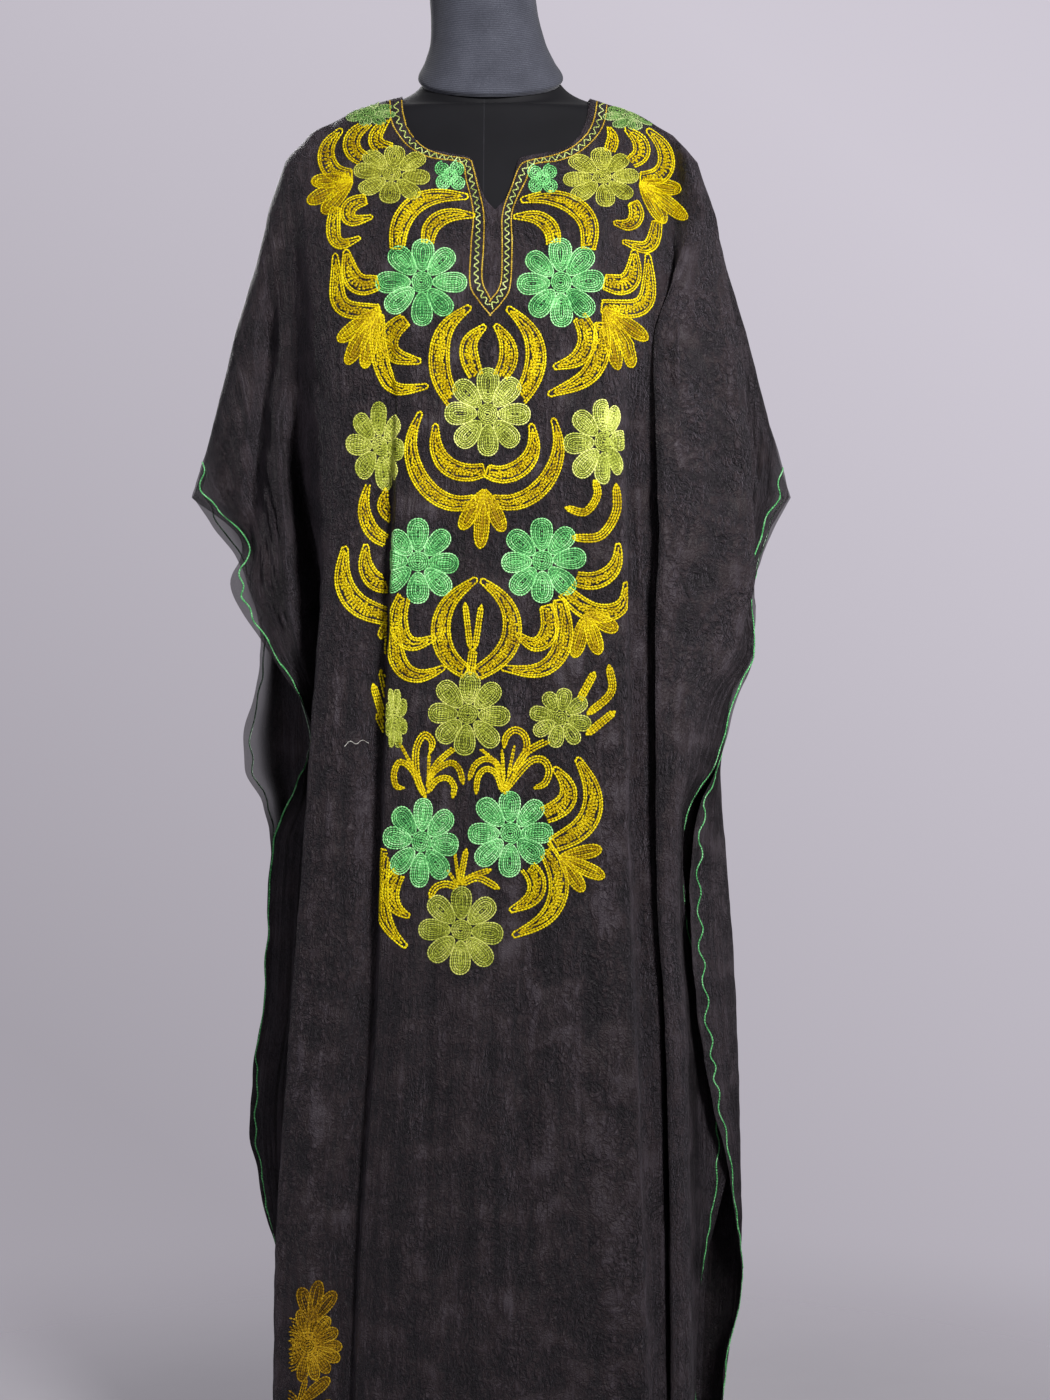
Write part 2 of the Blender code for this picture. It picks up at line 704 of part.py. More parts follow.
def add_stand(finish, collection):
    torso_foot = TORSO[0].height
    collar_foot = torso_foot - STAND_GAP - COLLAR_HEIGHT
    base = add_round("stand_base", BASE_RADIUS, 0, BASE_HEIGHT, finish, collection)
    bevel = base.modifiers.new("Rounded rim", "BEVEL")
    bevel.width = BASE_ROUND * MM
    bevel.segments = 3
    bevel.limit_method = "ANGLE"
    pole_foot, pole_head = BASE_HEIGHT + STAND_GAP, collar_foot - STAND_GAP
    add_round("stand_pole", POLE_RADIUS, pole_foot, pole_head, finish, collection)
    collar_head = torso_foot - STAND_GAP
    add_round("stand_collar", COLLAR_RADIUS, collar_foot, collar_head, finish, collection)


def main():
    clear_scene()
    collection = bpy.data.collections.new("Kaftan on dress form")
    bpy.context.scene.collection.children.link(collection)
    crepe = material("Black crepe", (0.035, 0.026, 0.03), 0.62, 0.3)
    jersey = material("Black jersey cover", (0.012, 0.012, 0.015), 0.7, 0.1)
    neck_cloth = material("Charcoal neck cloth", (0.07, 0.075, 0.085), 0.8)
    iron = material("Black enamelled iron", (0.02, 0.02, 0.022), 0.35)
    front = Panel(FRONT_THREADS, FRONT_NECK, FRONT_NECK_SIDE, -1, FRONT_TROUGHS)
    back = Panel(BACK_THREADS, BACK_NECK, (), 1, BACK_TROUGHS)
    torso = add_torso(jersey, collection).data
    form = BVHTree.FromPolygons(
        [point.co for point in torso.vertices], [face.vertices for face in torso.polygons]
    )
    add_cloth("front", front, FRONT_ROWS, form, crepe, collection)
    add_cloth("back", back, BACK_ROWS, form, crepe, collection)
    add_neck_block(neck_cloth, collection)
    add_stand(iron, collection)


main()
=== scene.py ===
# Crushed crepe kaftan with chain-stitch flowers, on a limbless dress form.
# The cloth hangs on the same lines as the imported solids: metres in the scene, millimetres in the tables.

from math import cos, pi, radians, sin

import bpy
import numpy as np
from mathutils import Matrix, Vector
from mathutils.bvhtree import BVHTree


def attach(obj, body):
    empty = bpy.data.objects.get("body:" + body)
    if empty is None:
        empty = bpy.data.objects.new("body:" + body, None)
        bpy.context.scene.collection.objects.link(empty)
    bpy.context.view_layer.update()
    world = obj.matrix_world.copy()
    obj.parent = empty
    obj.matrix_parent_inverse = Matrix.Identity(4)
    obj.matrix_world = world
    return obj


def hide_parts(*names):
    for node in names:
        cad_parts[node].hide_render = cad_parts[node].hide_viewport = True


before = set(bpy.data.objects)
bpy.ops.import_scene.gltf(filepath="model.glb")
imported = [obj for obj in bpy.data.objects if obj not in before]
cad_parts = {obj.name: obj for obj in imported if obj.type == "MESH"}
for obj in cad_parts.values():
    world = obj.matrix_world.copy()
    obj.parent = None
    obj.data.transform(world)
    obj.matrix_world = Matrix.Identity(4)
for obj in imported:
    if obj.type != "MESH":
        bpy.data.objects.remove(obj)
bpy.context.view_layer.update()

mm = 0.001
bpy.context.scene.view_settings.view_transform = "Standard"


# General helpers

def smooth(t):
    t = np.clip(t, 0, 1)
    return t * t * (3 - 2 * t)


def rise(value, low, high):
    # from 0 at low to 1 at high, which may lie either side of it
    return smooth((value - low) / (high - low))


def pick(rows, k):
    return [row[k] for row in rows]


def lerp(a, b, t):
    return a + (b - a) * t


def monotone(knots, values, at):
    # a curve through the values that never overshoots a flat stretch; values has a row for each knot
    knots, values, at = np.asarray(knots, float), np.asarray(values, float), np.asarray(at, float)
    at = np.clip(at, knots[0], knots[-1])
    if values.ndim == 1:
        values = values[:, None]
    spans = np.diff(knots)[:, None]
    slopes = np.diff(values, axis=0) / spans
    before, after = slopes[:-1], slopes[1:]
    same = before * after > 0
    total = np.where(same, before + after, 1)
    inner = np.where(same, 2 * before * after / total, 0)
    tangents = np.vstack([slopes[:1], inner, slopes[-1:]])
    i = np.clip(np.searchsorted(knots, at, side="right") - 1, 0, len(knots) - 2)
    column = np.arange(len(at)) if values.shape[1] == len(at) else np.zeros(len(at), int)
    h = spans[i, 0]
    t = (at - knots[i]) / h
    t2, t3 = t * t, t * t * t
    return (
        (2 * t3 - 3 * t2 + 1) * values[i, column]
        + (t3 - 2 * t2 + t) * h * tangents[i, column]
        + (3 * t2 - 2 * t3) * values[i + 1, column]
        + (t3 - t2) * h * tangents[i + 1, column]
    )


def runOf(line):
    # length from the first point to each
    return np.concatenate([[0], np.cumsum(np.linalg.norm(np.diff(line, axis=0), axis=1))])


def resampled(line, shares):
    run = runOf(line)
    return np.stack([np.interp(shares * run[-1], run, line[:, k]) for k in range(line.shape[1])], 1)


def softNoise(u, v, seed):
    # smooth noise from -1 to 1 over two running numbers
    table = np.random.RandomState(seed).uniform(-1, 1, (64, 64))
    i, j = np.floor(u).astype(int), np.floor(v).astype(int)
    s, t = smooth(u - i), smooth(v - j)
    i0, i1, j0, j1 = i % 64, (i + 1) % 64, j % 64, (j + 1) % 64
    low = lerp(table[i0, j0], table[i1, j0], s)
    high = lerp(table[i0, j1], table[i1, j1], s)
    return lerp(low, high, t)


def newObject(name, points, faces, finish=None, edges=()):
    mesh = bpy.data.meshes.new(name)
    mesh.from_pydata([tuple(p) for p in points], edges, [tuple(f) for f in faces])
    if finish:
        mesh.materials.append(finish)
    mesh.shade_smooth()
    made = bpy.data.objects.new(name, mesh)
    bpy.context.scene.collection.objects.link(made)
    return made


def plainMesh(obj):
    # bakes the modifiers into the mesh and drops them
    graph = bpy.context.evaluated_depsgraph_get()
    graph.update()
    mesh = bpy.data.meshes.new_from_object(obj.evaluated_get(graph))
    obj.modifiers.clear()
    obj.data = mesh
    mesh.name = obj.name
    return obj


# Materials

class Flow:
    # a value that flows through a node tree, so that sums with it can be written out

    def __init__(self, tree, socket):
        self.tree, self.socket = tree, socket

    def math(self, kind, other=None, turned=False):
        values = enumerate((other, self) if turned else (self, other))
        node = addNode(self.tree, "ShaderNodeMath", {"operation": kind})
        setSockets(node, {k: value for k, value in values if value is not None})
        return Flow(self.tree, node.outputs[0])

    def __add__(self, other):
        return self.math("ADD", other)

    def __sub__(self, other):
        return self.math("SUBTRACT", other)

    def __rsub__(self, other):
        return self.math("SUBTRACT", other, True)

    def __mul__(self, other):
        return self.math("MULTIPLY", other)

    def __abs__(self):
        return self.math("ABSOLUTE")

    def atMost(self, limit):
        return self.math("MINIMUM", limit)

    def atLeast(self, limit):
        return self.math("MAXIMUM", limit)


def setSockets(node, sockets):
    # values are set and sockets of other nodes wired; a key is a socket's number or its name
    for key, value in sockets.items():
        entry = node.inputs[key.replace("_", " ") if isinstance(key, str) else key]
        if isinstance(value, Flow):
            value = value.socket
        if isinstance(value, bpy.types.NodeSocket):
            node.id_data.links.new(value, entry)
        else:
            entry.default_value = value
    return node


def addNode(tree, kind, settings=None, **sockets):
    node = tree.nodes.new(kind)
    for key, value in (settings or {}).items():
        setattr(node, key, value)
    return setSockets(node, sockets)


def noise(tree, vector, scale, detail, **sockets):
    node = addNode(tree, "ShaderNodeTexNoise", Vector=vector, Scale=scale, Detail=detail, **sockets)
    return Flow(tree, node.outputs["Fac"])


def split(tree, vector):
    return [Flow(tree, out) for out in addNode(tree, "ShaderNodeSeparateXYZ", Vector=vector).outputs]


def eased(value, low, high, start=0.0, end=1.0):
    node = addNode(value.tree, "ShaderNodeMapRange", {"interpolation_type": "SMOOTHSTEP"},
                   Value=value, From_Min=low, From_Max=high, To_Min=start, To_Max=end)
    return Flow(value.tree, node.outputs["Result"])


def newMaterial(name, **sockets):
    made = bpy.data.materials.new(name)
    made.use_nodes = True
    tree = made.node_tree
    shader = setSockets(tree.nodes["Principled BSDF"], sockets)
    return made, tree, shader, tree.nodes.new("ShaderNodeTexCoord").outputs["Object"]


def dress(tree, shader, tone, stops, height, strength, depth):
    # the colour by tone and the bump by height that most surfaces end with
    node = addNode(tree, "ShaderNodeValToRGB", Fac=tone)
    while len(node.color_ramp.elements) < len(stops):
        node.color_ramp.elements.new(0.5)
    for element, (place, colour) in zip(node.color_ramp.elements, stops):
        element.position = place
        element.color = (*colour, 1)
    bump = addNode(tree, "ShaderNodeBump", Height=height, Strength=strength, Distance=depth)
    setSockets(shader, {"Base Color": node.outputs["Color"], "Normal": bump.outputs["Normal"]})


def newGroup(name, kind, inputs, outputs):
    # inputs and outputs as pairs of name and kind
    tree = bpy.data.node_groups.new(name, kind + "NodeTree")
    for way, sockets in (("INPUT", inputs), ("OUTPUT", outputs)):
        for label, sort in sockets:
            tree.interface.new_socket(label, in_out=way, socket_type="NodeSocket" + sort)
    source, out = tree.nodes.new("NodeGroupInput"), tree.nodes.new("NodeGroupOutput")
    return tree, [Flow(tree, socket) for socket in source.outputs][:len(inputs)], out


def placeGroup(tree, group, **sockets):
    node = addNode(tree, "ShaderNodeGroup", {"node_tree": group}, **sockets)
    return [Flow(tree, out) for out in node.outputs]


def buildCrinkle():
    # crushed cloth: long and short sunk creases in patches over a fine pebbled weave; the Crease output is
    # also the mask for painted shade in the creases
    tree, (along, place, scale, weaveScale), out = newGroup(
        "crushedCloth", "Shader",
        (("Along", "Vector"), ("Vector", "Vector"), ("Crease Scale", "Float"), ("Weave Scale", "Float")),
        (("Height", "Float"), ("Crease", "Float"), ("Cloud", "Float")),
    )
    lines = []
    for vector, size, bend, sharp in (
        (along, scale, 0.5, 9.0), (along, scale * 2.1, 0.4, 7.0), (place, scale * 0.5, 1.6, 12.0)
    ):
        off = abs(noise(tree, vector, size, 2.0, Distortion=bend) - 0.5)
        lines.append(1.0 - (off * sharp).atMost(1.0))
    strength = (noise(tree, place, 31.0, 1.0) - 0.22) * 1.8
    crease = (lines[0] + (lines[1] * 0.5 + lines[2] * 0.95)) * strength
    height = noise(tree, place, weaveScale, 1.0) * 0.4 - crease
    setSockets(out, {"Height": height, "Crease": crease, "Cloud": noise(tree, place, 17.0, 3.0)})
    return tree


crinkle = buildCrinkle()
crepeLook = {
    "tones": ((0.22, (0.0030, 0.0023, 0.0034)), (0.405, (0.0100, 0.0076, 0.0098)),
              (0.51, (0.0150, 0.0095, 0.0112)), (0.69, (0.034, 0.027, 0.033))),
    "creaseScale": 190.0,
    "weaveScale": 700.0,
    "stretch": (1.0, 0.30, 1.0),  # creases run three times as long down the cloth as across it
    "streaks": (75.0, 5.0, 1.0),
    "cloudTone": 0.32,
    "streakTone": 0.88,
    # painted shade: how much darker the creases are painted
    "paintedCreaseShade": 0.27,
    "streakHeight": 1.6,
    "bump": 1.15,
    "bumpDepth": 0.0021,
    "thinEdge": (0.47, 0.57),  # metres from the middle between which a single layer turns sheer
    "thinHeight": (0.64, 0.76),
    "sheer": 0.5,
}


def crepeMaterial():
    made, tree, shader, place = newMaterial(
        "crushedCrepe", Specular_IOR_Level=0.22,
        Sheen_Weight=0.07, Sheen_Roughness=0.5, Sheen_Tint=(0.85, 0.75, 0.9, 1),
    )
    lay = addNode(tree, "ShaderNodeUVMap", {"uv_map": "cloth"}).outputs["UV"]
    lengthways, narrow = (
        addNode(tree, "ShaderNodeMapping", Vector=lay, Scale=crepeLook[key]).outputs["Vector"]
        for key in ("stretch", "streaks")
    )
    height, crease, cloud = placeGroup(
        tree, crinkle, Along=lengthways, Vector=place,
        Crease_Scale=crepeLook["creaseScale"], Weave_Scale=crepeLook["weaveScale"],
    )
    streak = noise(tree, narrow, 1.0, 4.0, Roughness=0.65)
    light = cloud * crepeLook["cloudTone"] + streak * crepeLook["streakTone"]
    # painted shade: the creases are painted darker than the cloth round them, on top of their sunk bump
    dress(tree, shader, light - crease * crepeLook["paintedCreaseShade"], crepeLook["tones"],
          height + streak * crepeLook["streakHeight"], crepeLook["bump"], crepeLook["bumpDepth"])
    across, up, _ = split(tree, lay)
    thin = eased(abs(across), *crepeLook["thinEdge"]) * eased(up, *crepeLook["thinHeight"])
    setSockets(shader, {"Alpha": 1.0 - thin * crepeLook["sheer"], "Roughness": crease * 0.08 + 0.54})
    return made


def jerseyMaterial():
    # close black jersey over the padded torso, with a lighter line painted down its centre seam, partly its
    # thread and partly a painted highlight along the seam
    made, tree, shader, place = newMaterial(
        "blackJersey", Roughness=0.7, Specular_IOR_Level=0.2, Sheen_Weight=0.04, Sheen_Roughness=0.5
    )
    off = abs(split(tree, place)[0] - formLook["seamX"] * mm)
    # painted highlight: a narrow band along the seam lightens the colour, standing partly for the seam's
    # thread
    line = 1.0 - (off * (1 / formLook["seamWidth"])).atMost(1.0)
    stops = ((0.2, (0.0022, 0.0022, 0.0035)), (0.6, (0.0045, 0.0045, 0.0065)), (1.0, (0.028, 0.028, 0.033)))
    dress(tree, shader, noise(tree, place, 22.0, 3.0) * 0.6 + line * 0.55, stops,
          noise(tree, place, 1400.0, 2.0), 0.25, 0.0003)
    return made


def neckMaterial():
    # charcoal cloth with fine level ribs
    made, tree, shader, place = newMaterial(
        "charcoalRib", Roughness=0.82, Specular_IOR_Level=0.3, Sheen_Weight=0.12, Sheen_Roughness=0.5
    )
    turns = split(tree, place)[2] * (2 * pi / formLook["ribPitch"]) + noise(tree, place, 60.0, 2.0) * 5.0
    ribs = turns.math("SINE")
    fibre = noise(tree, place, 900.0, 2.0)
    stops = ((0.25, (0.022, 0.024, 0.034)), (0.5, (0.044, 0.047, 0.064)), (0.8, (0.090, 0.096, 0.122)))
    dress(tree, shader, fibre * 0.5 + ribs * 0.09 + noise(tree, place, 26.0, 3.0) * 0.45, stops,
          ribs * 0.5 + fibre, 0.4, 0.0004)
    return made


def enamelMaterial():
    # black enamel with fine orange peel, lighter in noisy patches on the faces that look upward
    made, tree, shader, place = newMaterial("blackEnamel", Coat_Weight=0.2, Coat_Roughness=0.2)
    patchNoise = noise(tree, place, 40.0, 5.0, Roughness=0.65)
    up = split(tree, tree.nodes.new("ShaderNodeNewGeometry").outputs["Normal"])[2]
    stops = ((0.0, (0.011, 0.011, 0.012)), (0.6, (0.035, 0.034, 0.034)), (1.0, (0.07, 0.068, 0.066)))
    # only the upward faces turn lighter, in patches
    dress(tree, shader, up.atLeast(0.0) * patchNoise, stops, noise(tree, place, 650.0, 2.0), 0.12, 0.0003)
    setSockets(shader, {"Roughness": patchNoise * 0.3 + 0.24})
    return made


formLook = {
    "seamX": -7.0,
    "seamDepth": 0.7,
    "seamHalf": 1.6,
    "seamWidth": 0.0009,  # metres, as is the pitch of the ribs
    "ribPitch": 0.0023,
    "sides": 120,
    "rings": 110,
    "ringPower": 1.5,  # rings lie closer together where a form turns most
    "neckSides": 112,
    "neckRings": 64,
    "neckRingPower": 1.2,
}
crepe = crepeMaterial()
jersey = jerseyMaterial()
neckCloth = neckMaterial()
enamel = enamelMaterial()
print("materials ready")


# The dress form: ovals by height, half width, depth to the front, depth to the back

torsoOvals = (
    (728, 148, 92, 100),
    (742, 158, 100, 110),
    (880, 164, 104, 118),
    (1050, 124, 88, 84),
    (1150, 132, 112, 88),
    (1225, 146, 132, 94),
    (1300, 158, 112, 98),
    (1360, 176, 88, 90),
    (1400, 184, 71, 74),
    (1424, 180, 60, 63),
    (1438, 168, 54, 57),
    (1450, 152, 50, 52),
    (1460, 126, 48, 50),
    (1468.5, 95, 47, 48),
    (1476, 80, 47, 47),
    (1484, 72, 47, 47),
)
neckOvals = (
    (1484.3, 72, 51, -1, 1.0),
    (1491, 76, 56, -1, 1.0),
    (1508, 68, 53, -2, 0.85),
    (1530, 60, 50, -4, 0.55),
    (1562, 56, 49, -8, 0.15),
    (1600, 55, 48, -11, 0.0),
    (1606, 51, 44, -11, 0.0),
)  # height, half width, depth, shift, lean
ovalPower = 2.3
throatFoot, throatSlope = 1448.0, 0.49


def ovalValues(table, height):
    return [monotone(pick(table, 0), pick(table, k), height) for k in range(1, len(table[0]))]


def torsoDepth(x, height, side):
    half, front, back = ovalValues(torsoOvals, height)
    depth = front if side < 0 else back
    share = np.clip(np.abs(x) / half, 0, 1)
    reach = depth * (1 - share ** ovalPower) ** (1 / ovalPower)
    return np.where((height > torsoOvals[-1][0]) | (share >= 1), 0.0, reach)


def ovalPoint(half, front, back, power, share):
    c, s = np.cos(2 * pi * share), np.sin(2 * pi * share)
    x = half * np.abs(c) ** (2 / power) * np.sign(c)
    return x, np.where(s >= 0, back, front) * np.abs(s) ** (2 / power) * np.sign(s)


def revolvedMesh(name, ringPoints, finish):
    # rings of points from the foot up, closed by a fan at each end
    rings, sides = ringPoints.shape[:2]
    points = list(ringPoints.reshape(-1, 3) * mm)
    points += [ringPoints[0].mean(0) * mm, ringPoints[-1].mean(0) * mm]
    faces = []
    for i in range(rings - 1):
        for k in range(sides):
            a, b = i * sides + k, i * sides + (k + 1) % sides
            faces.append((a, b, b + sides, a + sides))
    foot, head = rings * sides, rings * sides + 1
    for k in range(sides):
        faces.append((foot, (k + 1) % sides, k))
        faces.append((head, (rings - 1) * sides + k, (rings - 1) * sides + (k + 1) % sides))
    return newObject(name, points, faces, finish)


def buildTorso():
    low, high = torsoOvals[0][0], torsoOvals[-1][0]
    steps = np.arange(formLook["rings"] + 1) / formLook["rings"]
    heights = lerp(low, high, 1 - (1 - steps) ** formLook["ringPower"])
    share = np.arange(formLook["sides"]) / formLook["sides"]
    rings = []
    for height in heights:
        half, front, back = (v[0] for v in ovalValues(torsoOvals, [height]))
        x, y = ovalPoint(half, front, back, ovalPower, share)
        lean = rise(height, throatFoot, high)
        pull = formLook["seamDepth"] * np.exp(-((x - formLook["seamX"]) / formLook["seamHalf"]) ** 2)
        y = y + np.where(y < 0, pull, -pull)
        rings.append(np.stack([x, y, height + throatSlope * lean * y], 1))
    return revolvedMesh("torso_form", np.array(rings), jersey)


def buildNeck():
    low, high = neckOvals[0][0], neckOvals[-1][0]
    steps = np.arange(formLook["neckRings"] + 1) / formLook["neckRings"]
    share = np.arange(formLook["neckSides"]) / formLook["neckSides"]
    rings = []
    for height in lerp(low, high, steps ** formLook["neckRingPower"]):
        half, depth, shift, lean = (v[0] for v in ovalValues(neckOvals, [height]))
        x, y = ovalPoint(half, depth, depth, 2.0, share)
        rings.append(np.stack([x + shift, y, height + throatSlope * lean * y], 1))
    return revolvedMesh("neck_block", np.array(rings), neckCloth)


torso = buildTorso()
neck = buildNeck()
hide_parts("form_torso")
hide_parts("form_neck")
for piece, finish in ((torso, "form_cover"), (neck, "neck_cloth")):
    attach(piece, "root")
for name in ("stand_base", "stand_pole", "stand_collar"):
    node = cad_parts[name]
    for slot in node.material_slots:
        slot.material = enamel
formTree = BVHTree.FromPolygons(
    [v.co for v in torso.data.vertices], [tuple(p.vertices) for p in torso.data.polygons]
)
print("form and stand ready")


# The cloth: lines that hang from the neck and the top fold, from -X to +X
# Each has its distance from the middle along the top, then height, x and y of its places.

hem = 62.0
shoulderFold = (
    (98, 1470), (154, 1452), (190, 1431), (214, 1402), (230, 1356),
    (244, 1298), (267, 1222), (291, 1128), (313, 1052),
)
neckHalf, neckShift, shoulderEnd = 98.0, 5.0, 215.0

frontThreads = (
    ("left free edge", -600, (
        (999, -258, -14), (963, -270, -24), (901, -236, -54), (840, -194, -82), (805, -182, -88),
        (745, -206, -14), (690, -230, 4), (525, -241, 8), (402, -254, 5), (315, -240, 5),
        (250, -224, 5), (hem, -215, 5),
    )),
    ("left wing", -440, (
        (1046, -238, -42), (999, -229, -52), (960, -226, -54), (890, -206, -64), (840, -189, -62),
        (745, -190, -6), (690, -203, -4), (525, -212, -3), (402, -225, -5), (hem, -205, -4),
    )),
    ("left sleeve ridge", -300, (
        (1200, -219, -50), (1100, -216, -56), (960, -207, -62), (890, -194, -66), (840, -183, -46),
        (745, -178, -5), (600, -190, -5), (402, -205, -5), (hem, -200, -5),
    )),
    ("left inner seam", -235, (
        (1276, -203, -58), (1175, -199, -52), (1100, -202, -30), (1060, -200, -8), (1000, -186, -1),
        (900, -172, -1), (805, -166, -1), (600, -176, -1), (402, -190, -1), (hem, -195, -1),
    )),
    ("left body fold", -200, (
        (1340, -186, -70), (1250, -180, -92), (1150, -173, -100), (1000, -168, -107),
        (836, -177, -118), (690, -187, -122), (440, -205, -127), (290, -214, -130),
        (hem, -217, -132),
    )),
    ("left body", -160, (
        (1340, -146, -92), (1250, -145, -114), (1150, -144, -122), (1000, -142, -125),
        (836, -146, -131), (540, -154, -137), (290, -168, -142), (hem, -172, -145),
    )),
    ("left panel valley", -118, (
        (1340, -106, -98), (1200, -99, -129), (1120, -97, -131), (1000, -100, -120),
        (836, -105, -116), (690, -110, -117), (540, -115, -124), (290, -131, -136),
        (hem, -140, -142),
    )),
    ("left panel ridge", -98, (
        (1340, -93, -102), (1200, -91, -134), (1120, -90, -140), (1000, -94, -141),
        (836, -100, -141), (690, -105, -142), (540, -110, -146), (290, -126, -152),
        (hem, -134, -155),
    )),
    ("middle", 0, (
        (1470, 5, -46), (1400, 5, -73), (1334, 4, -98), (1220, 0, -143), (1040, -8, -147),
        (880, -19, -149), (720, -25, -151), (500, -32, -155), (280, -36, -160), (hem, -40, -164),
    )),
    ("right neck", 98, (
        (1340, 100, -98), (1220, 98, -131), (1040, 96, -141), (880, 92, -143), (720, 90, -145),
        (500, 90, -149), (280, 94, -156), (hem, 98, -160),
    )),
    ("right panel ridge", 128, (
        (1340, 124, -91), (1200, 128, -121), (1120, 131, -132), (1000, 134, -136), (836, 136, -138),
        (690, 138, -140), (540, 142, -144), (290, 151, -151), (hem, 160, -155),
    )),
    ("right panel valley", 140, (
        (1340, 134, -87), (1200, 137, -115), (1120, 136, -113), (1000, 138, -110), (836, 140, -110),
        (690, 142, -112), (540, 146, -116), (290, 155, -124), (hem, 164, -130),
    )),
    ("right body", 172, (
        (1340, 165, -72), (1258, 166, -88), (1206, 162, -97), (1113, 164, -100), (980, 166, -98),
        (760, 165, -98), (490, 172, -98), (hem, 180, -100),
    )),
    ("right inner seam", 195, (
        (1320, 187, -48), (1290, 189, -56), (1240, 191, -66), (1175, 189, -66), (1100, 200, -36),
        (1060, 204, -10), (1000, 196, -1), (900, 186, -1), (700, 176, -1), (500, 181, -1),
        (hem, 189, -1),
    )),
    ("right sleeve fold", 222, (
        (1340, 205, -52), (1318, 200, -64), (1258, 186, -88), (1206, 177, -102), (1113, 179, -116),
        (980, 182, -122), (760, 182, -122), (650, 184, -118), (490, 194, -113), (hem, 200, -112),
    )),
    ("right wing fold", 268, (
        (1310, 236, -42), (1218, 252, -54), (1103, 266, -62), (983, 270, -66), (895, 252, -78),
        (840, 216, -96), (773, 202, -106), (723, 191, -112), (680, 190, -105), (600, 192, -88),
        (480, 199, -84), (hem, 205, -80),
    )),
    ("right wing tuck", 330, (
        (1218, 248, -26), (1103, 256, -32), (983, 260, -40), (895, 260, -70), (840, 228, -89),
        (773, 212, -99), (723, 193, -106), (680, 192, -92), (600, 194, -62), (480, 202, -50),
        (hem, 208, -50),
    )),
    ("right wing", 460, (
        (1103, 274, -20), (1044, 268, -28), (983, 264, -36), (895, 266, -64), (840, 239, -82),
        (773, 220, -92), (723, 195, -100), (680, 193, -80), (600, 197, -40), (480, 214, -22),
        (276, 214, -22), (hem, 210, -28),
    )),
    ("right free edge", 600, (
        (1015, 286, -18), (960, 270, -38), (895, 270, -57), (840, 250, -75), (773, 229, -85),
        (723, 198, -94), (680, 196, -68), (600, 208, -27), (480, 238, -12), (355, 246, -10),
        (276, 230, -10), (185, 214, -10), (hem, 211, -8),
    )),
)
backThreads = (
    ("left free edge", -600, (
        (980, -266, 20), (903, -243, 18), (850, -251, 15), (798, -261, 12), (766, -259, 8),
        (732, -240, 4), (700, -236, 24), (645, -234, 30), (560, -226, 34), (402, -234, 34),
        (hem, -215, 32),
    )),
    ("left wing", -440, (
        (1100, -262, 30), (1000, -240, 42), (903, -224, 40), (798, -222, 38), (700, -214, 42),
        (560, -212, 48), (402, -218, 48), (hem, -208, 44),
    )),
    ("left wing valley", -320, (
        (1200, -230, 46), (1100, -226, 52), (1000, -212, 40), (903, -200, 30), (798, -192, 24),
        (600, -194, 24), (402, -203, 24), (hem, -202, 24),
    )),
    ("left inner seam", -245, (
        (1276, -208, 60), (1175, -203, 54), (1100, -202, 30), (1060, -200, 8), (1000, -186, 1),
        (900, -172, 1), (805, -166, 1), (600, -176, 1), (402, -190, 1), (hem, -195, 1),
    )),
    ("left back fold", -200, (
        (1340, -176, 78), (1200, -168, 92), (1000, -162, 98), (800, -166, 104), (500, -180, 110),
        (hem, -192, 116),
    )),
    ("left back valley", -150, (
        (1340, -126, 94), (1200, -118, 102), (1000, -114, 104), (800, -116, 110), (500, -124, 112),
        (hem, -134, 114),
    )),
    ("left back ridge", -98, (
        (1340, -78, 106), (1200, -72, 118), (1000, -70, 122), (800, -70, 130), (500, -74, 136),
        (hem, -82, 144),
    )),
    ("back middle", 0, (
        (1470, 5, 46), (1400, 3, 80), (1340, 0, 106), (1200, 0, 114), (1000, -2, 116),
        (800, -3, 120), (500, -4, 124), (hem, -6, 128),
    )),
    ("right back ridge", 98, (
        (1340, 78, 106), (1200, 74, 118), (1000, 72, 122), (800, 74, 130), (500, 78, 136),
        (hem, 88, 144),
    )),
    ("right back valley", 150, (
        (1340, 128, 94), (1200, 122, 102), (1000, 118, 104), (800, 120, 110), (500, 128, 112),
        (hem, 138, 114),
    )),
    ("right back fold", 195, (
        (1340, 178, 78), (1200, 170, 92), (1000, 166, 98), (800, 168, 104), (500, 180, 110),
        (hem, 194, 116),
    )),
    ("right inner seam", 235, (
        (1276, 206, 62), (1175, 202, 58), (1100, 202, 34), (1060, 204, 10), (1000, 196, 1),
        (900, 186, 1), (700, 176, 1), (500, 181, 1), (hem, 189, 1),
    )),
    ("right wing valley", 340, (
        (1200, 244, 44), (1100, 244, 56), (1000, 236, 58), (900, 226, 56), (771, 222, 52),
        (608, 226, 54), (430, 232, 56), (hem, 222, 54),
    )),
    ("right wing fold", 450, (
        (1100, 282, 22), (1000, 274, 34), (900, 262, 36), (830, 250, 22), (771, 240, 4),
        (685, 246, 0), (512, 257, 0), (312, 262, 6), (220, 257, 12), (hem, 236, 18),
    )),
    ("right free edge", 600, (
        (990, 284, 20), (900, 262, 12), (830, 247, -22), (771, 232, -46), (732, 214, -56),
        (696, 206, -58), (619, 204, -58), (533, 210, -50), (430, 227, -42), (377, 242, -30),
        (337, 250, -18), (220, 262, 0), (164, 250, 4), (hem, 238, 8),
    )),
)

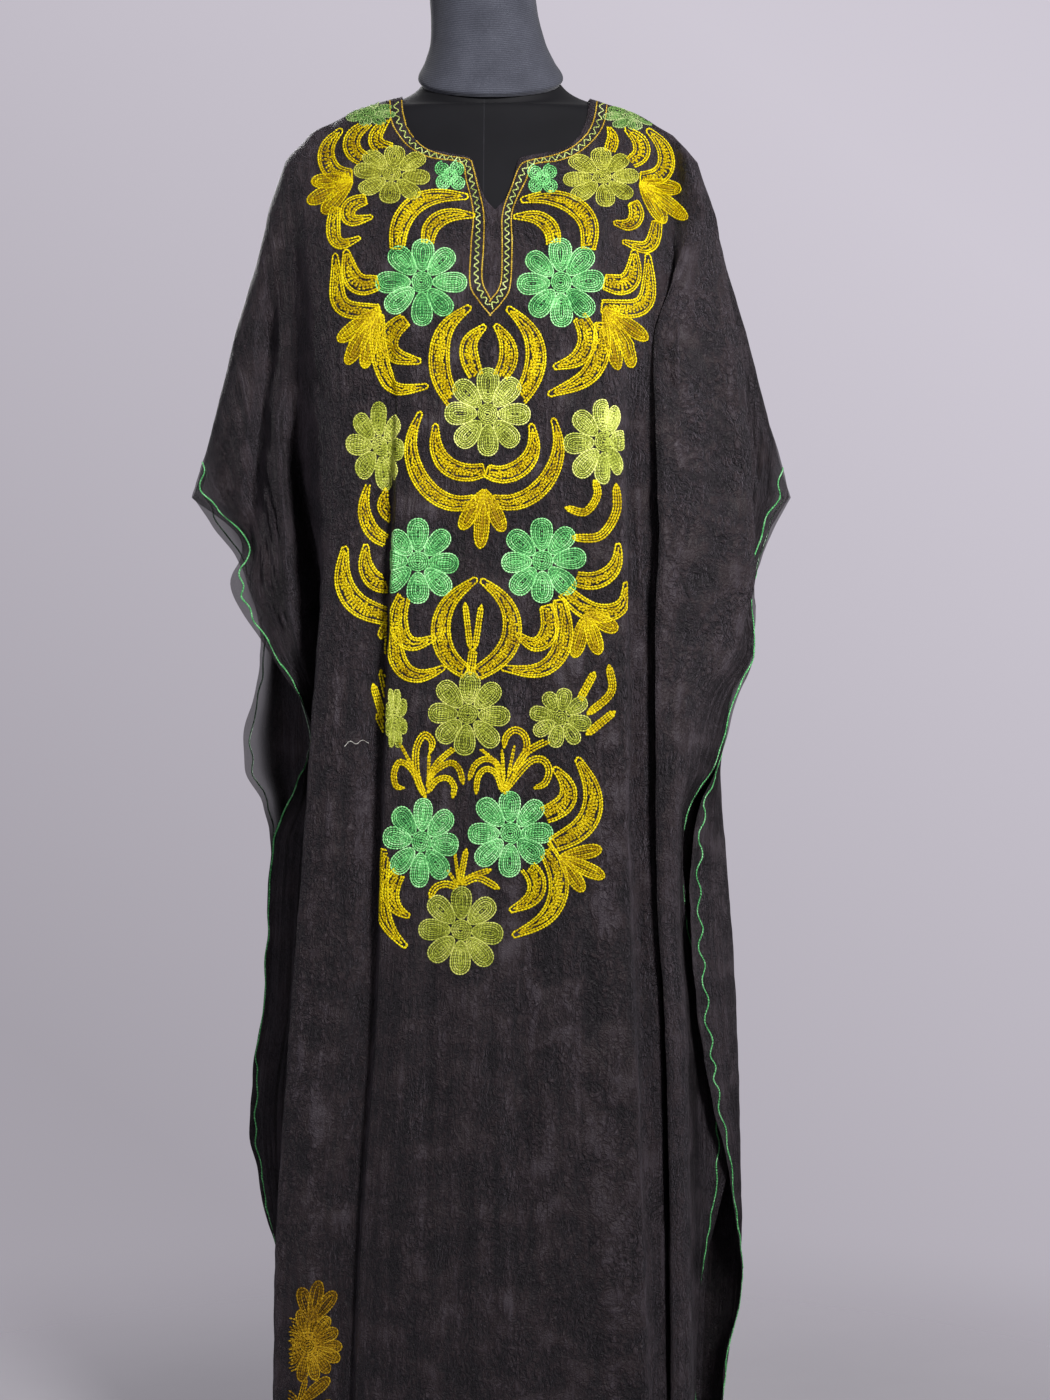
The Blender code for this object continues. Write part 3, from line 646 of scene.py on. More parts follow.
frontCloth = {
    "name": "kaftan_front", "node": "front", "side": -1, "threads": frontThreads,
    "neckline": (
        (0, 0, 1334), (9, 10, 1346), (18, 17, 1365), (30, 25, 1391),
        (46, 47, 1397), (62, 70, 1403), (80, 87, 1419),
    ),
    "neckSide": ((98, 1470), (97, 1462), (95.5, 1450), (93, 1435), (87, 1419)),
    "troughs": (
        # x and height of its head, the same of its foot, half width, depth
        (-221, 1290, -250, 1004, 15, 20), (228, 1190, 246, 1010, 16, 12),
        (-40, 1120, -60, 300, 26, 6), (40, 1020, 30, 200, 24, 6),
    ),
    "shifts": (
        # distance along the top, half width, heights of head and foot, to the right, to the back
        (222, 30, 1300, 20, -13, 0), (222, 30, 1020, 20, -4, 0), (194, 24, 1290, 20, 0, -40),
    ),
    "spacing": (
        # distance along the top, and the gap between lines from there on
        (-600, 6), (-560, 10), (-235, 4.2), (-118, 1.9), (-98, 4.5), (-80, 3.2), (-60, 2.5), (60, 3.2),
        (80, 4.5), (98, 3.2), (128, 1.7), (140, 4), (195, 3.2), (222, 7), (330, 10), (560, 6), (600, 0),
    ),
    "rows": 198, "rowPower": 1.12, "wall": 0.45, "seed": 31,
    "creases": (
        # line of places by distance and height, half width, depth (minus stands proud)
        (((-52, 1250), (-47, 1050), (-52, 820), (-60, 560)), 9, 1.3),
        (((-18, 1010), (-12, 780), (-20, 520), (-16, 200)), 8, -1.5),
        (((30, 1180), (26, 960), (34, 700), (30, 420), (38, 120)), 10, 1.6),
        (((62, 1120), (70, 860), (64, 600), (72, 300)), 8, -1.4),
        (((-78, 900), (-72, 640), (-80, 360), (-74, 90)), 9, 1.6),
        (((4, 620), (10, 400), (2, 150)), 9, 1.7),
        (((96, 900), (104, 620), (98, 330), (106, 80)), 9, 1.5),
        (((-150, 1240), (-142, 1000), (-150, 760)), 10, 1.6),
        (((-176, 980), (-168, 700), (-176, 380), (-168, 80)), 10, -2.0),
        (((-136, 620), (-144, 380), (-138, 110)), 9, 1.8),
        (((158, 1250), (152, 1010), (160, 760), (154, 420)), 9, -1.5),
        (((178, 900), (184, 640), (176, 300)), 8, 1.5),
        (((-214, 1180), (-196, 1150), (-168, 1120)), 9, 2.2),
        (((-205, 1240), (-182, 1215), (-156, 1204)), 8, -1.6),
        (((204, 1262), (186, 1230), (160, 1212)), 8, 1.8),
        (((214, 1208), (192, 1176), (170, 1166)), 9, -1.7),
        (((-300, 1130), (-262, 1090), (-232, 1072)), 12, 2.4),
        (((-222, 1110), (-262, 1066), (-300, 1050)), 6, 1.8),
        (((-226, 1070), (-262, 1030)), 5, -1.7),
        (((-222, 1160), (-250, 1124), (-290, 1104)), 6, -1.7),
        (((-230, 1010), (-270, 972)), 6, 1.7),
        (((-236, 960), (-272, 928)), 5, -1.5),
        (((238, 1094), (242, 1068), (248, 1042)), 3.4, 3.4),
        (((246, 1096), (251, 1066), (258, 1044)), 3.2, -1.8),
        (((244, 1040), (232, 1004), (226, 964)), 4, 1.8),
        (((240, 1082), (272, 1028)), 5, -1.7),
        (((238, 1046), (268, 1002)), 5, 1.6),
        (((246, 1146), (300, 1092), (360, 1070)), 7, 1.9),
        (((250, 1008), (304, 956)), 6, 1.7),
        (((-420, 1100), (-360, 1020), (-300, 980)), 14, 2.6),
        (((-500, 1010), (-430, 930), (-350, 900)), 13, -2.4),
        (((-340, 860), (-330, 640), (-345, 420), (-332, 160)), 12, 2.0),
        (((-520, 840), (-505, 600), (-520, 330), (-508, 100)), 13, -2.2),
        (((-430, 700), (-440, 450), (-425, 180)), 12, 1.8),
        (((300, 1150), (270, 1096), (238, 1078)), 12, 2.2),
        (((400, 1120), (352, 1040), (300, 1000)), 13, 2.4),
        (((520, 1000), (450, 920), (380, 880)), 13, -2.4),
        (((380, 760), (392, 520), (378, 240)), 12, 2.0),
        (((500, 800), (512, 560), (498, 300), (510, 100)), 13, -2.0),
    ),
}
backCloth = {
    "name": "kaftan_back", "node": "back", "side": 1, "threads": backThreads,
    "neckline": (
        (0, 0, 1442), (36, 40, 1445), (62, 70, 1452),
        (80, 86, 1460), (89, 93, 1465.5), (98, 98, 1470),
    ),
    "neckSide": (),
    "troughs": ((-236, 1290, -252, 1010, 16, 14), (238, 1280, 256, 1000, 16, 14)),
    "shifts": (),
    "spacing": (
        (-600, 7), (-560, 11), (-245, 5), (-98, 4.2), (-70, 4.6), (70, 4.2),
        (98, 5), (235, 8), (330, 11), (560, 7), (600, 0),
    ),
    "rows": 190, "rowPower": 1.12, "wall": 0.45, "seed": 47,
    "creases": (
        (((-60, 1300), (-52, 1080), (-62, 800), (-54, 480), (-60, 140)), 11, 1.8),
        (((-20, 1240), (-28, 960), (-18, 640), (-26, 300)), 10, -1.9),
        (((22, 1150), (14, 860), (24, 560), (16, 180)), 11, 2.0),
        (((58, 1280), (66, 1000), (56, 700), (64, 360), (58, 90)), 10, -1.8),
        (((104, 1180), (96, 900), (106, 560), (98, 220)), 11, 1.9),
        (((-108, 1200), (-98, 900), (-110, 600), (-102, 260)), 11, -2.0),
        (((-176, 1130), (-168, 860), (-178, 540), (-170, 200)), 11, 1.8),
        (((172, 1150), (180, 880), (170, 560), (178, 220)), 11, -1.8),
        (((-214, 1230), (-186, 1195), (-150, 1180)), 10, 2.2),
        (((210, 1240), (184, 1204), (152, 1190)), 10, 2.0),
        (((-226, 1170), (-198, 1128), (-164, 1110)), 10, -1.8),
        (((222, 1180), (196, 1140), (166, 1122)), 10, -2.0),
        (((-420, 1100), (-360, 1010), (-300, 960)), 14, 2.6),
        (((-500, 960), (-430, 880), (-360, 850)), 13, -2.4),
        (((-380, 760), (-392, 520), (-378, 220)), 12, 2.2),
        (((-500, 700), (-486, 450), (-500, 180)), 13, -2.2),
        (((410, 1090), (356, 1010), (300, 970)), 14, 2.4),
        (((520, 980), (450, 890), (384, 860)), 13, -2.6),
        (((386, 740), (374, 500), (388, 220)), 12, 2.0),
        (((506, 720), (518, 470), (504, 160)), 13, -2.2),
    ),
}


def topFold(distance):
    lengths = runOf(shoulderFold)
    along = np.clip(np.abs(distance) - neckHalf, 0, lengths[-1])
    out, height = (np.interp(along, lengths, pick(shoulderFold, k)) for k in (0, 1))
    shift = neckShift * (1 - rise(np.abs(distance), neckHalf, 2 * neckHalf))
    return np.where(distance > 0, out, -out) + shift, height


drape = {
    "steps": 420,
    "stepPower": 1.5,
    "clearance": 0.9,  # least gap to the torso, eased in over twice the softness
    "softness": 6.0,
    "belowFold": 8.0,  # no place of a line is taken nearer the top fold than this
    "settling": 120.0,  # height over which a line leaves its place on the fold for its own
    "fan": 10.0,  # lines beside the neck start further out, up to fanEnd
    "fanEnd": 150.0,
    "shoulderBend": 5.0,  # height over which the cloth bends over the fold, and the same past the shoulder
    "armBend": 42.0,
    "foldHalf": 0.75,
    "levelRows": 8,
    "neckReach": 170.0,  # height over which rows below the neckline level out
    "shiftHead": 120.0,  # heights over which a shift sets in and ends
    "shiftFoot": 60.0,
}


def pastShoulder(distance):
    return rise(distance, shoulderEnd - 30, shoulderEnd + 10)


class Hanging:
    # one panel as lines of cloth that hang from its top

    def __init__(self, settings):
        self.settings = settings
        self.side = settings["side"]
        self.tops = pick(settings["threads"], 1)
        self.rows = [self.rowsOf(top, rows) for _, top, rows in settings["threads"]]
        self.neckSide = settings["neckSide"]
        self.neckFoot = settings["neckline"][-1][0]

    def rowsOf(self, top, rows):
        if abs(top) < neckHalf:
            return rows
        x, z = (float(v) for v in topFold(np.array(float(top))))
        rows = tuple(row for row in rows if row[0] < z - drape["belowFold"])
        return ((z, x, rows[0][2] * float(pastShoulder(abs(top)))),) + rows

    def place(self, which, distance, height):
        values = np.array([
            monotone([-row[0] for row in rows], pick(rows, which), -height.ravel()) for rows in self.rows
        ])
        return monotone(self.tops, values, distance.ravel()).reshape(height.shape)

    def neckline(self, which, away):
        line = self.settings["neckline"]
        return monotone(pick(line, 0), pick(line, which), away)

    def columns(self):
        found = []
        spacing = self.settings["spacing"]
        for (a, step), (b, _) in zip(spacing, spacing[1:]):
            count = max(1, round((b - a) / step))
            found += [lerp(a, b, k / count) for k in range(count)]
        return np.array(found + [spacing[-1][0]], float)

    def restOnForm(self, x, y, z):
        reach = torsoDepth(x.ravel(), z.ravel(), self.side).reshape(x.shape)
        least = reach + drape["clearance"] + self.settings["wall"] / 2
        out, soft = self.side * y, drape["softness"]
        blend = np.clip((out - least + soft) / (2 * soft), 0, 1)
        onForm = least + soft * blend * blend
        moved = np.where(out < least - soft, least, np.where(out > least + soft, out, onForm))
        return np.where(reach > 0, self.side * moved, y)

    def paths(self, distances):
        # x, y and z down each line, as arrays with a row for each line
        d = distances[:, None]
        away, way = np.abs(distances), np.sign(distances)
        isSide = (away == self.neckFoot) & bool(self.neckSide)
        onFold = (away >= neckHalf) | isSide
        start = distances.copy()
        if self.neckSide:
            fan = drape["fan"] * (1 - rise(away, neckHalf, drape["fanEnd"]))
            start = np.where(away >= neckHalf, distances + way * fan, distances)
            start = np.where(isSide, way * neckHalf, start)
        foldX, foldZ = topFold(start)
        neckOut = self.neckline(1, away)
        topX = np.where(onFold, foldX, np.where(distances > 0, neckOut, -neckOut) + neckShift)
        topZ = np.where(onFold, foldZ, self.neckline(2, away))
        shares = np.arange(drape["steps"] + 1) / drape["steps"]
        z = lerp(topZ[:, None], hem, shares[None, :] ** drape["stepPower"])
        ease = smooth((topZ[:, None] - z) / drape["settling"])
        here = lerp(start[:, None], d, ease)
        if self.neckSide:
            drops = [-p[1] for p in self.neckSide]
            out = monotone(drops, pick(self.neckSide, 0), -z.ravel()).reshape(z.shape)
            turned = lerp(out, away[:, None], smooth((self.neckSide[-1][1] - z) / drape["settling"]))
            here = np.where(isSide[:, None], way[:, None] * turned, here)
        miss = topX - self.place(1, start, topZ)
        x = self.place(1, here, z) + miss[:, None] * (1 - ease)
        y = self.place(2, here, z)
        for xTop, zTop, xFoot, zFoot, half, depth in self.settings["troughs"]:
            t = (zTop - z) / (zTop - zFoot)
            across = np.clip(np.abs(x - lerp(xTop, xFoot, t)) / half, 0, 1)
            ends = rise(t, 0, 0.25) * rise(t, 1, 0.8) * ((t > 0) & (t < 1))
            y = y - self.side * depth * ends * (0.5 + 0.5 * np.cos(pi * across))
        for middle, half, zTop, zFoot, right, back in self.settings["shifts"]:
            near = smooth(1 - np.abs(d - middle) / half)
            head, foot = zTop - drape["shiftHead"], zFoot + drape["shiftFoot"]
            share = near * rise(z, zTop, head) * rise(z, zFoot, foot)
            x, y = x + right * share, y + back * share
        bend = lerp(drape["shoulderBend"], drape["armBend"], pastShoulder(away)[:, None])
        over = np.clip((topZ[:, None] - z) / bend, 0, 1)
        bent = lerp(self.side * drape["foldHalf"], y, np.sqrt(1 - (1 - over) ** 2))
        y = np.where(onFold[:, None], bent, y)
        keepTop = onFold[:, None] & (shares == 0)[None, :]
        return x, np.where(keepTop, y, self.restOnForm(x, y, z)), z

    def grid(self):
        # rows of points down every line; no number stands above the neckline
        distances = self.columns()
        away, way = np.abs(distances), np.sign(distances)
        paths = np.stack(self.paths(distances), 2)
        count = self.settings["rows"]
        shares = (np.arange(count + 1) / count) ** self.settings["rowPower"]
        points = np.full((len(distances), count + 1, 3), np.nan)

        def level(i, heights):
            x, y = (np.interp(-heights, -paths[i, :, 2], paths[i, :, k]) for k in (0, 1))
            return np.stack([x, y, heights], 1)

        def nearest(distance):
            return int(np.argmin(np.abs(distances - distance)))

        levels = resampled(paths[nearest(neckHalf)], shares)[:, 2]
        first, foot = 0, self.settings["neckline"][-1][2]
        if self.neckSide:
            top = np.clip(1 - np.arange(count + 1) / drape["levelRows"], 0, 1)
            levels = levels + (self.neckSide[0][1] - levels[0]) * top
            first = int(np.argmax(levels <= foot))
            levels[first] = foot
        for i in range(len(distances)):
            if away[i] >= neckHalf:
                points[i] = resampled(paths[i], shares)
            elif self.neckSide and away[i] == self.neckFoot:
                points[i] = level(i, levels)
            elif away[i] < self.neckFoot:
                drop = foot - self.neckline(2, away[i:i + 1])[0]
                heights = levels - drop * (1 - smooth((foot - levels) / drape["neckReach"]))
                points[i, first:] = level(i, heights[first:])
        # lines between the neck's side and the fold lie between their neighbours
        for i in np.where((away > self.neckFoot) & (away < neckHalf))[0]:
            inner, outer = nearest(way[i] * self.neckFoot), nearest(way[i] * neckHalf)
            share = (away[i] - self.neckFoot) / (neckHalf - self.neckFoot)
            points[i] = lerp(points[inner], points[outer], share)
        return distances, points


def surfaceNormals(points, side):
    normal = np.cross(np.gradient(points, axis=0), np.gradient(points, axis=1)) * side
    size = np.linalg.norm(normal, axis=2, keepdims=True)
    fallback = np.zeros(points.shape)
    fallback[..., 1] = side
    bad = ~np.isfinite(size) | (size < 1e-6)
    return np.where(bad, fallback, normal / np.where(bad, 1, size))


def creaseDepth(d, z, creases):
    total = np.zeros(d.shape)
    for line, half, depth in creases:
        nearest, along = np.full(d.shape, 1e9), np.zeros(d.shape)
        run = runOf(line)
        for (ax, az), (bx, bz), done, length in zip(line, line[1:], run, np.diff(run)):
            t = np.clip(((d - ax) * (bx - ax) + (z - az) * (bz - az)) / length ** 2, 0, 1)
            off = np.hypot(d - lerp(ax, bx, t), z - lerp(az, bz, t))
            along = np.where(off < nearest, (done + t * length) / run[-1], along)
            nearest = np.minimum(off, nearest)
        total += depth * rise(along, 0, 0.3) * rise(along, 1, 0.7) * np.exp(-(nearest / half * 1.6) ** 2)
    return total


crush = {
    "lean": 22,
    "long": 0.9,
    "fine": 0.5,
    "sleeve": 0.6,
    "pebble": 0.34,
    "flutter": (2.6, 1.4, 1.8),
}


def crushed(distances, points, settings):
    # presses the listed creases and seeded crushing into the cloth
    d = np.broadcast_to(distances[:, None], points.shape[:2])
    z = np.nan_to_num(points[..., 2], nan=hem)
    away, seed = np.abs(d), settings["seed"]
    leant = d + crush["lean"] * softNoise(d / 160, z / 500, seed + 5)
    lengthways = (crush["long"] * softNoise(leant / 13, z / 240 + 7, seed)
                  + crush["fine"] * softNoise(leant / 7, z / 110 + 3, seed + 1))
    everyWay = (crush["sleeve"] * softNoise((d + z * 0.4) / 19, (z - d * 0.5) / 30, seed + 2)
                + crush["pebble"] * softNoise(d / 9, z / 12, seed + 3))
    lower = 0.45 + 0.75 * rise(z, 1150, 650)
    sleeve = 1 + 2.1 * rise(away, 150, 240) * rise(z, 820, 940)
    free = lerp(1.0, smooth((topFold(d)[1] - z) / 45), rise(away, 90, 110))
    height = lower * lengthways + everyWay * sleeve * free - creaseDepth(d, z, settings["creases"])
    moved = points + surfaceNormals(points, settings["side"]) * height[..., None]
    edge = rise(away, 500, 590)  # the free edges flutter
    broad, narrow, sideways = crush["flutter"]
    moved[..., 1] += edge * (broad * softNoise(z / 34, d / 200, seed + 8)
                             + narrow * softNoise(z / 15, d / 300, seed + 9))
    moved[..., 0] += edge * sideways * softNoise(z / 27, d / 200, seed + 10)
    level = lerp(points[..., 2], moved[..., 2], rise(z, hem, hem + 60))
    moved[..., 2] = np.where(np.isnan(points[..., 2]), np.nan, level)
    return moved


def settle(points, side, wall):
    # moves points that lie in the torso out of it
    need = wall / 2 + 0.5
    lies = (np.abs(points[..., 0]) < 200) & (points[..., 2] > 700)
    for i, k in np.argwhere(lies):
        point = Vector(points[i, k] * mm)
        near, normal, _, distance = formTree.find_nearest(point)
        off = distance / mm * (1 if (point - near).dot(normal) > 0 else -1)
        if off < need:
            points[i, k] += np.array(normal) * (need - off)
    return points


def sheetObject(settings, distances, points, finish):
    solid = ~np.isnan(points[..., 0])
    index = np.full(solid.shape, -1)
    index[solid] = np.arange(solid.sum())
    a, b = index[:-1, :-1], index[:-1, 1:]
    c, e = index[1:, 1:], index[1:, :-1]
    good = (a >= 0) & (b >= 0) & (c >= 0) & (e >= 0)
    quads = np.stack([a[good], b[good], c[good], e[good]], 1)
    if settings["side"] > 0:
        quads = quads[:, ::-1]
    made = newObject(settings["name"], points[solid] * mm, quads.tolist(), finish)
    layer = made.data.uv_layers.new(name="cloth")
    d = np.broadcast_to(distances[:, None], solid.shape)[solid]
    vertexOf = np.empty(len(made.data.loops), int)
    made.data.loops.foreach_get("vertex_index", vertexOf)
    uv = np.stack([d[vertexOf], points[solid][vertexOf, 2]], 1) * mm
    layer.data.foreach_set("uv", uv.ravel().astype(np.float32))
    wall = made.modifiers.new("Wall", "SOLIDIFY")
    wall.thickness = settings["wall"] * mm
    wall.offset = 0.0
    return plainMesh(made)


def buildCloth(settings):
    hanging = Hanging(settings)
    distances, points = hanging.grid()
    points = crushed(distances, points, settings)
    points = settle(points, settings["side"], settings["wall"])
    made = sheetObject(settings, distances, points, crepe)
    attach(made, "root")
    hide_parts(settings["node"])
    print(settings["name"], len(distances), "lines of cloth")
    return made, distances, points


frontPiece, frontD, frontPoints = buildCloth(frontCloth)
backPiece, backD, backPoints = buildCloth(backCloth)


# The sewing: every row is drawn as the camera sees it, laid on the cloth, and worked in chain stitch

picture = {
    "centre": (525, 700),
    "focal": 2500,
    "eye": (35, -2620, 840),
    "lens": 64.3,
    "sensor": 36,
}
clothLook = {
    "levelStep": 3.0,
    "beyond": 5,  # levels past the top of a line, so that edges can be met
    "folds": ((-120, -96), (126, 142)),
    "leastRun": 0.05,
    "parting": 1330,  # above this height the halves of the neckline are looked at one by one
    # a height, and how far the panel shows to one side below and above it
    "panelLeft": (1040, -118.5, -232),
    "panelRight": (1155, 140.5, 220),
    "side": (-233, -117),
    "firstDepth": -140.0,
}


class ClothMap:
    # finds the cloth under a point of the drawing, and its place and lie at any distance and height

    def __init__(self, distances, points, side):
        step = clothLook["levelStep"]
        self.distances, self.levels = distances, np.arange(hem + 1, 1490, step)
        self.places = np.full((len(distances), len(self.levels), 3), np.nan)
        self.tops = np.full(len(distances), np.nan)
        for i in range(len(distances)):
            line = points[i][~np.isnan(points[i][:, 0])][::-1]
            heights = np.maximum.accumulate(line[:, 2])
            self.tops[i] = heights[-1]
            inside = (self.levels <= heights[-1]) & (self.levels >= heights[0] - step)
            for k in range(3):
                self.places[i, inside, k] = np.interp(self.levels[inside], heights, line[:, k])
            last = int(np.where(inside)[0][-1])
            beyond = np.arange(last + 1, min(last + 1 + clothLook["beyond"], len(self.levels)))
            slope = self.places[i, last] - self.places[i, last - 1]
            self.places[i, beyond] = self.places[i, last] + slope * (beyond - last)[:, None]
        self.lies = surfaceNormals(self.places[:, ::-1], side)[:, ::-1]
        self.straight = self.places[..., 0]
        self.drawn = self.unfolded()

    def unfolded(self):
        # how far right each place lies, with the folds beside the panel opened out so that no two meet
        x, y, distances = *np.moveaxis(self.places[..., :2], 2, 0), self.distances
        (leftFold, leftEnd), (rightFold, rightEnd) = clothLook["folds"]
        middle = (distances[:-1] + distances[1:]) / 2
        inFold = ((middle > leftFold) & (middle < leftEnd)) | ((middle > rightFold) & (middle < rightEnd))
        dx, dy = np.diff(x, axis=0), np.diff(y, axis=0)
        steep = inFold[:, None] & (np.abs(dy) > np.abs(dx))
        least = clothLook["leastRun"]
        run = np.nan_to_num(np.where(steep, np.hypot(dx, dy), np.maximum(dx, least)), nan=least)
        drawn = np.where(np.isnan(x), -1e6, x)
        for i in range(int(np.argmin(np.abs(distances - leftEnd))) - 1, -1, -1):
            drawn[i] = np.where(np.isnan(x[i]), drawn[i + 1], drawn[i + 1] - run[i])
        for i in range(int(np.argmin(np.abs(distances - rightFold))) + 1, len(distances)):
            drawn[i] = np.where(np.isnan(x[i]), drawn[i - 1], drawn[i - 1] + run[i - 1])
        return drawn

    def levelOf(self, z):
        return np.clip((z - self.levels[0]) / clothLook["levelStep"], 0, len(self.levels) - 1.001)

    def distanceAt(self, x, z, part):
        # the distance along the top of the cloth that is seen at x and z
        d = self.distances
        found = np.full(len(x), np.nan)
        low = np.floor(self.levelOf(z)).astype(int)
        for j in np.unique(low):
            picked = np.where(low == j)[0]
            height = self.levels[j]
            if part == "panel":
                left, right = (below if height < turn else above
                               for turn, below, above in (clothLook["panelLeft"], clothLook["panelRight"]))
                across = self.drawn[:, j]
            else:
                left, right = clothLook["side"]
                across = self.straight[:, j]
            use = (d >= left) & (d <= right) & ~np.isnan(self.straight[:, j])
            for half in (d < 0, d >= 0):
                share = np.where(use & (half if height > clothLook["parting"] else use))[0]
                if len(share) < 3:
                    continue
                line = np.maximum.accumulate(across[share])
                here = np.interp(x[picked], line, d[share], left=np.nan, right=np.nan)
                found[picked] = np.where(np.isnan(here), found[picked], here)
        return found

    def at(self, distance, z):
        i = np.clip(np.searchsorted(self.distances, distance) - 1, 0, len(self.distances) - 2)
        s = ((distance - self.distances[i]) / (self.distances[i + 1] - self.distances[i]))[:, None]
        level = self.levelOf(z)
        j = np.floor(level).astype(int)
        t = (level - j)[:, None]
        place, lie = (
            lerp(lerp(table[i, j], table[i + 1, j], s), lerp(table[i, j + 1], table[i + 1, j + 1], s), t)
            for table in (self.places, self.lies)
        )
        return place, lie / np.maximum(np.linalg.norm(lie, axis=1, keepdims=True), 1e-6)

    def seen(self, drawing, part):
        # the drawings have the camera's own units across and down: its lines carry them to the cloth
        depth = np.full(len(drawing), clothLook["firstDepth"])
        eyeX, eyeY, eyeZ = picture["eye"]
        for _ in range(5):
            scale = (depth - eyeY) / picture["focal"]
            x = eyeX + (drawing[:, 0] - picture["centre"][0]) * scale
            z = eyeZ + (picture["centre"][1] - drawing[:, 1]) * scale
            d = self.distanceAt(x, z, part)
            place, _ = self.at(np.nan_to_num(d), z)
            depth = np.where(np.isnan(d) | np.isnan(place[:, 1]), depth, place[:, 1])
        place, lie = self.at(np.nan_to_num(d), z)
        top = np.interp(np.nan_to_num(d), self.distances, self.tops)
        return place, lie, ~np.isnan(d) & ~np.isnan(place[:, 0]) & (z < top - 0.9)


frontMap = ClothMap(frontD, frontPoints, -1)
backMap = ClothMap(backD, backPoints, 1)
sewnRows = []


def spaced(line, step, closed=False):
    # points at even steps along a line
    line = np.array(line, float)
    if closed:
        line = np.vstack([line, line[:1]])
    count = max(2, int(round(runOf(line)[-1] / step)) + 1)
    out = resampled(line, np.linspace(0, 1, count))
    return out[:-1] if closed else out


def curved(points, step=1.4):
    # a smooth line through given points
    points = np.array(points, float)
    if len(points) == 2:
        return spaced(points, step)
    ends = np.vstack([2 * points[0] - points[1], points, 2 * points[-1] - points[-2]])
    t = np.arange(0, 1, 0.1)[:, None]
    out = [
        0.5 * (2 * b + (c - a) * t + (2 * a - 5 * b + 4 * c - e) * t ** 2 + (3 * b - a - 3 * c + e) * t ** 3)
        for a, b, c, e in zip(ends, ends[1:], ends[2:], ends[3:])
    ]
    return spaced(np.vstack(out + [points[-1:]]), step)


def sew(colour, line, part="panel", lift=0.05, closed=False, tone=0.0):
    sewnRows.append((colour, spaced(line, 1.5, closed), part, lift, closed, tone))


def sideways(line):
    along = np.gradient(line, axis=0)
    along = along / np.maximum(np.linalg.norm(along, axis=1, keepdims=True), 1e-9)
    return np.stack([-along[:, 1], along[:, 0]], 1)


def swings(count):
    return np.where(np.arange(count) % 2, 1, -1)


sewing = {
    "seed": 5,
    "rowGap": 2.05,
    "outlineLift": 0.06,
    "strokeLift": 0.08,
    "centreLift": 0.4,
    "petalTones": (0.55, -0.25, 0.3, -0.3, 0.1),
    "slitTone": -0.5,
    # shares of a flower's radius: where petals start, their width, the spiral; narrow ones stand closer
    "petal": (0.25, 0.475),
    "narrowPetal": (0.2, 0.33),
    "spiral": 0.25,
    "spiralTurn": 26,
    "lobes": ((-7.5, -6.5), (7.5, -7), (-6.5, 7), (8, 7), (1, 0)),
    "lobeRadius": 7.6,
    "lobeLift": 0.2,
    "cover": 0.92,  # share of a flower's radius, and a round flower's reach, under which mustard rows stop
    "roundCover": 14,
    "crescentEdge": 0.6,
    "meanderPitch": 3.7,
    "meanderEdge": 4.4,
}
chance = np.random.RandomState(sewing["seed"])


def placed(line, squash, centre):
    # squash holds the shares that show of a shape's left half, its right half and its height
    wide = np.where(line[:, 0] < 0, squash[0], squash[1])
    return np.stack([line[:, 0] * wide, line[:, 1] * squash[2]], 1) + np.array(centre)


def petalRows(colour, root, angle, near, far, width, squash, part, lift, tone):
    # rows one inside another, wider towards the tip, with a dark slit down the middle
    middle, along, half = (near + far) / 2, (far - near) / 2, width / 2
    theta = np.linspace(0, 2 * pi, 34, endpoint=False)
    c, s = np.cos(theta), np.sin(theta)
    turn = np.array([[cos(angle), -sin(angle)], [sin(angle), cos(angle)]])
    gap, tones = sewing["rowGap"], sewing["petalTones"]
    last, k = False, 0
    while not last:
        longWay, wideWay = along - k * gap * 0.96, half - k * gap
        last = wideWay < 0.7
        if last:
            longWay = max(longWay, 2.0)
            line = np.array([[middle - longWay * 0.6, 0], [middle + longWay * 0.8, 0]])
        else:
            across = wideWay * np.sign(s) * np.abs(s) ** 0.92 * (0.98 + 0.28 * c - 0.06 * c * c)
            line = np.stack([middle + longWay * np.sign(c) * np.abs(c) ** 0.9, across], 1)
        rowTone = sewing["slitTone"] if last else tones[min(k, len(tones) - 1)]
        sew(colour, placed(line @ turn.T, squash, root), part, lift - 0.02 * k, not last, tone + rowTone)
        k += 1


def spiral(colour, centre, radius, squash, part, lift, tone):
    turns = radius / sewing["rowGap"]
    t = np.linspace(0.12, 1, int(sewing["spiralTurn"] * turns))
    angle = 2 * pi * turns * t
    line = np.stack([radius * t * np.cos(angle), radius * t * np.sin(angle)], 1)
    sew(colour, placed(line, squash, centre), part, lift, False, tone)


def flower(colour, across, down, radius, turn=0, squash=(1, 1, 1), part="panel", petals=8):
    near, wide = sewing["petal" if petals < 10 else "narrowPetal"]
    for k in range(petals):
        angle = radians(turn + 360 / petals * k + chance.uniform(-3.5, 3.5))
        far = radius * chance.uniform(0.95, 1.04)
        width = radius * wide * chance.uniform(0.94, 1.06)
        petalRows(colour, (across, down), angle, radius * near, far, width, squash, part,
                  sewing["outlineLift"] + 0.1 * (k % 2), chance.uniform(-0.25, 0.25))
    spiral(colour, (across, down), radius * sewing["spiral"], squash, part, sewing["centreLift"], 0.1)


def roundFlower(colour, across, down):
    for dx, dy in sewing["lobes"]:
        centre, tone = (across + dx, down + dy), chance.uniform(-0.3, 0.4)
        spiral(colour, centre, sewing["lobeRadius"], (1, 1, 1), "panel", sewing["lobeLift"], tone)


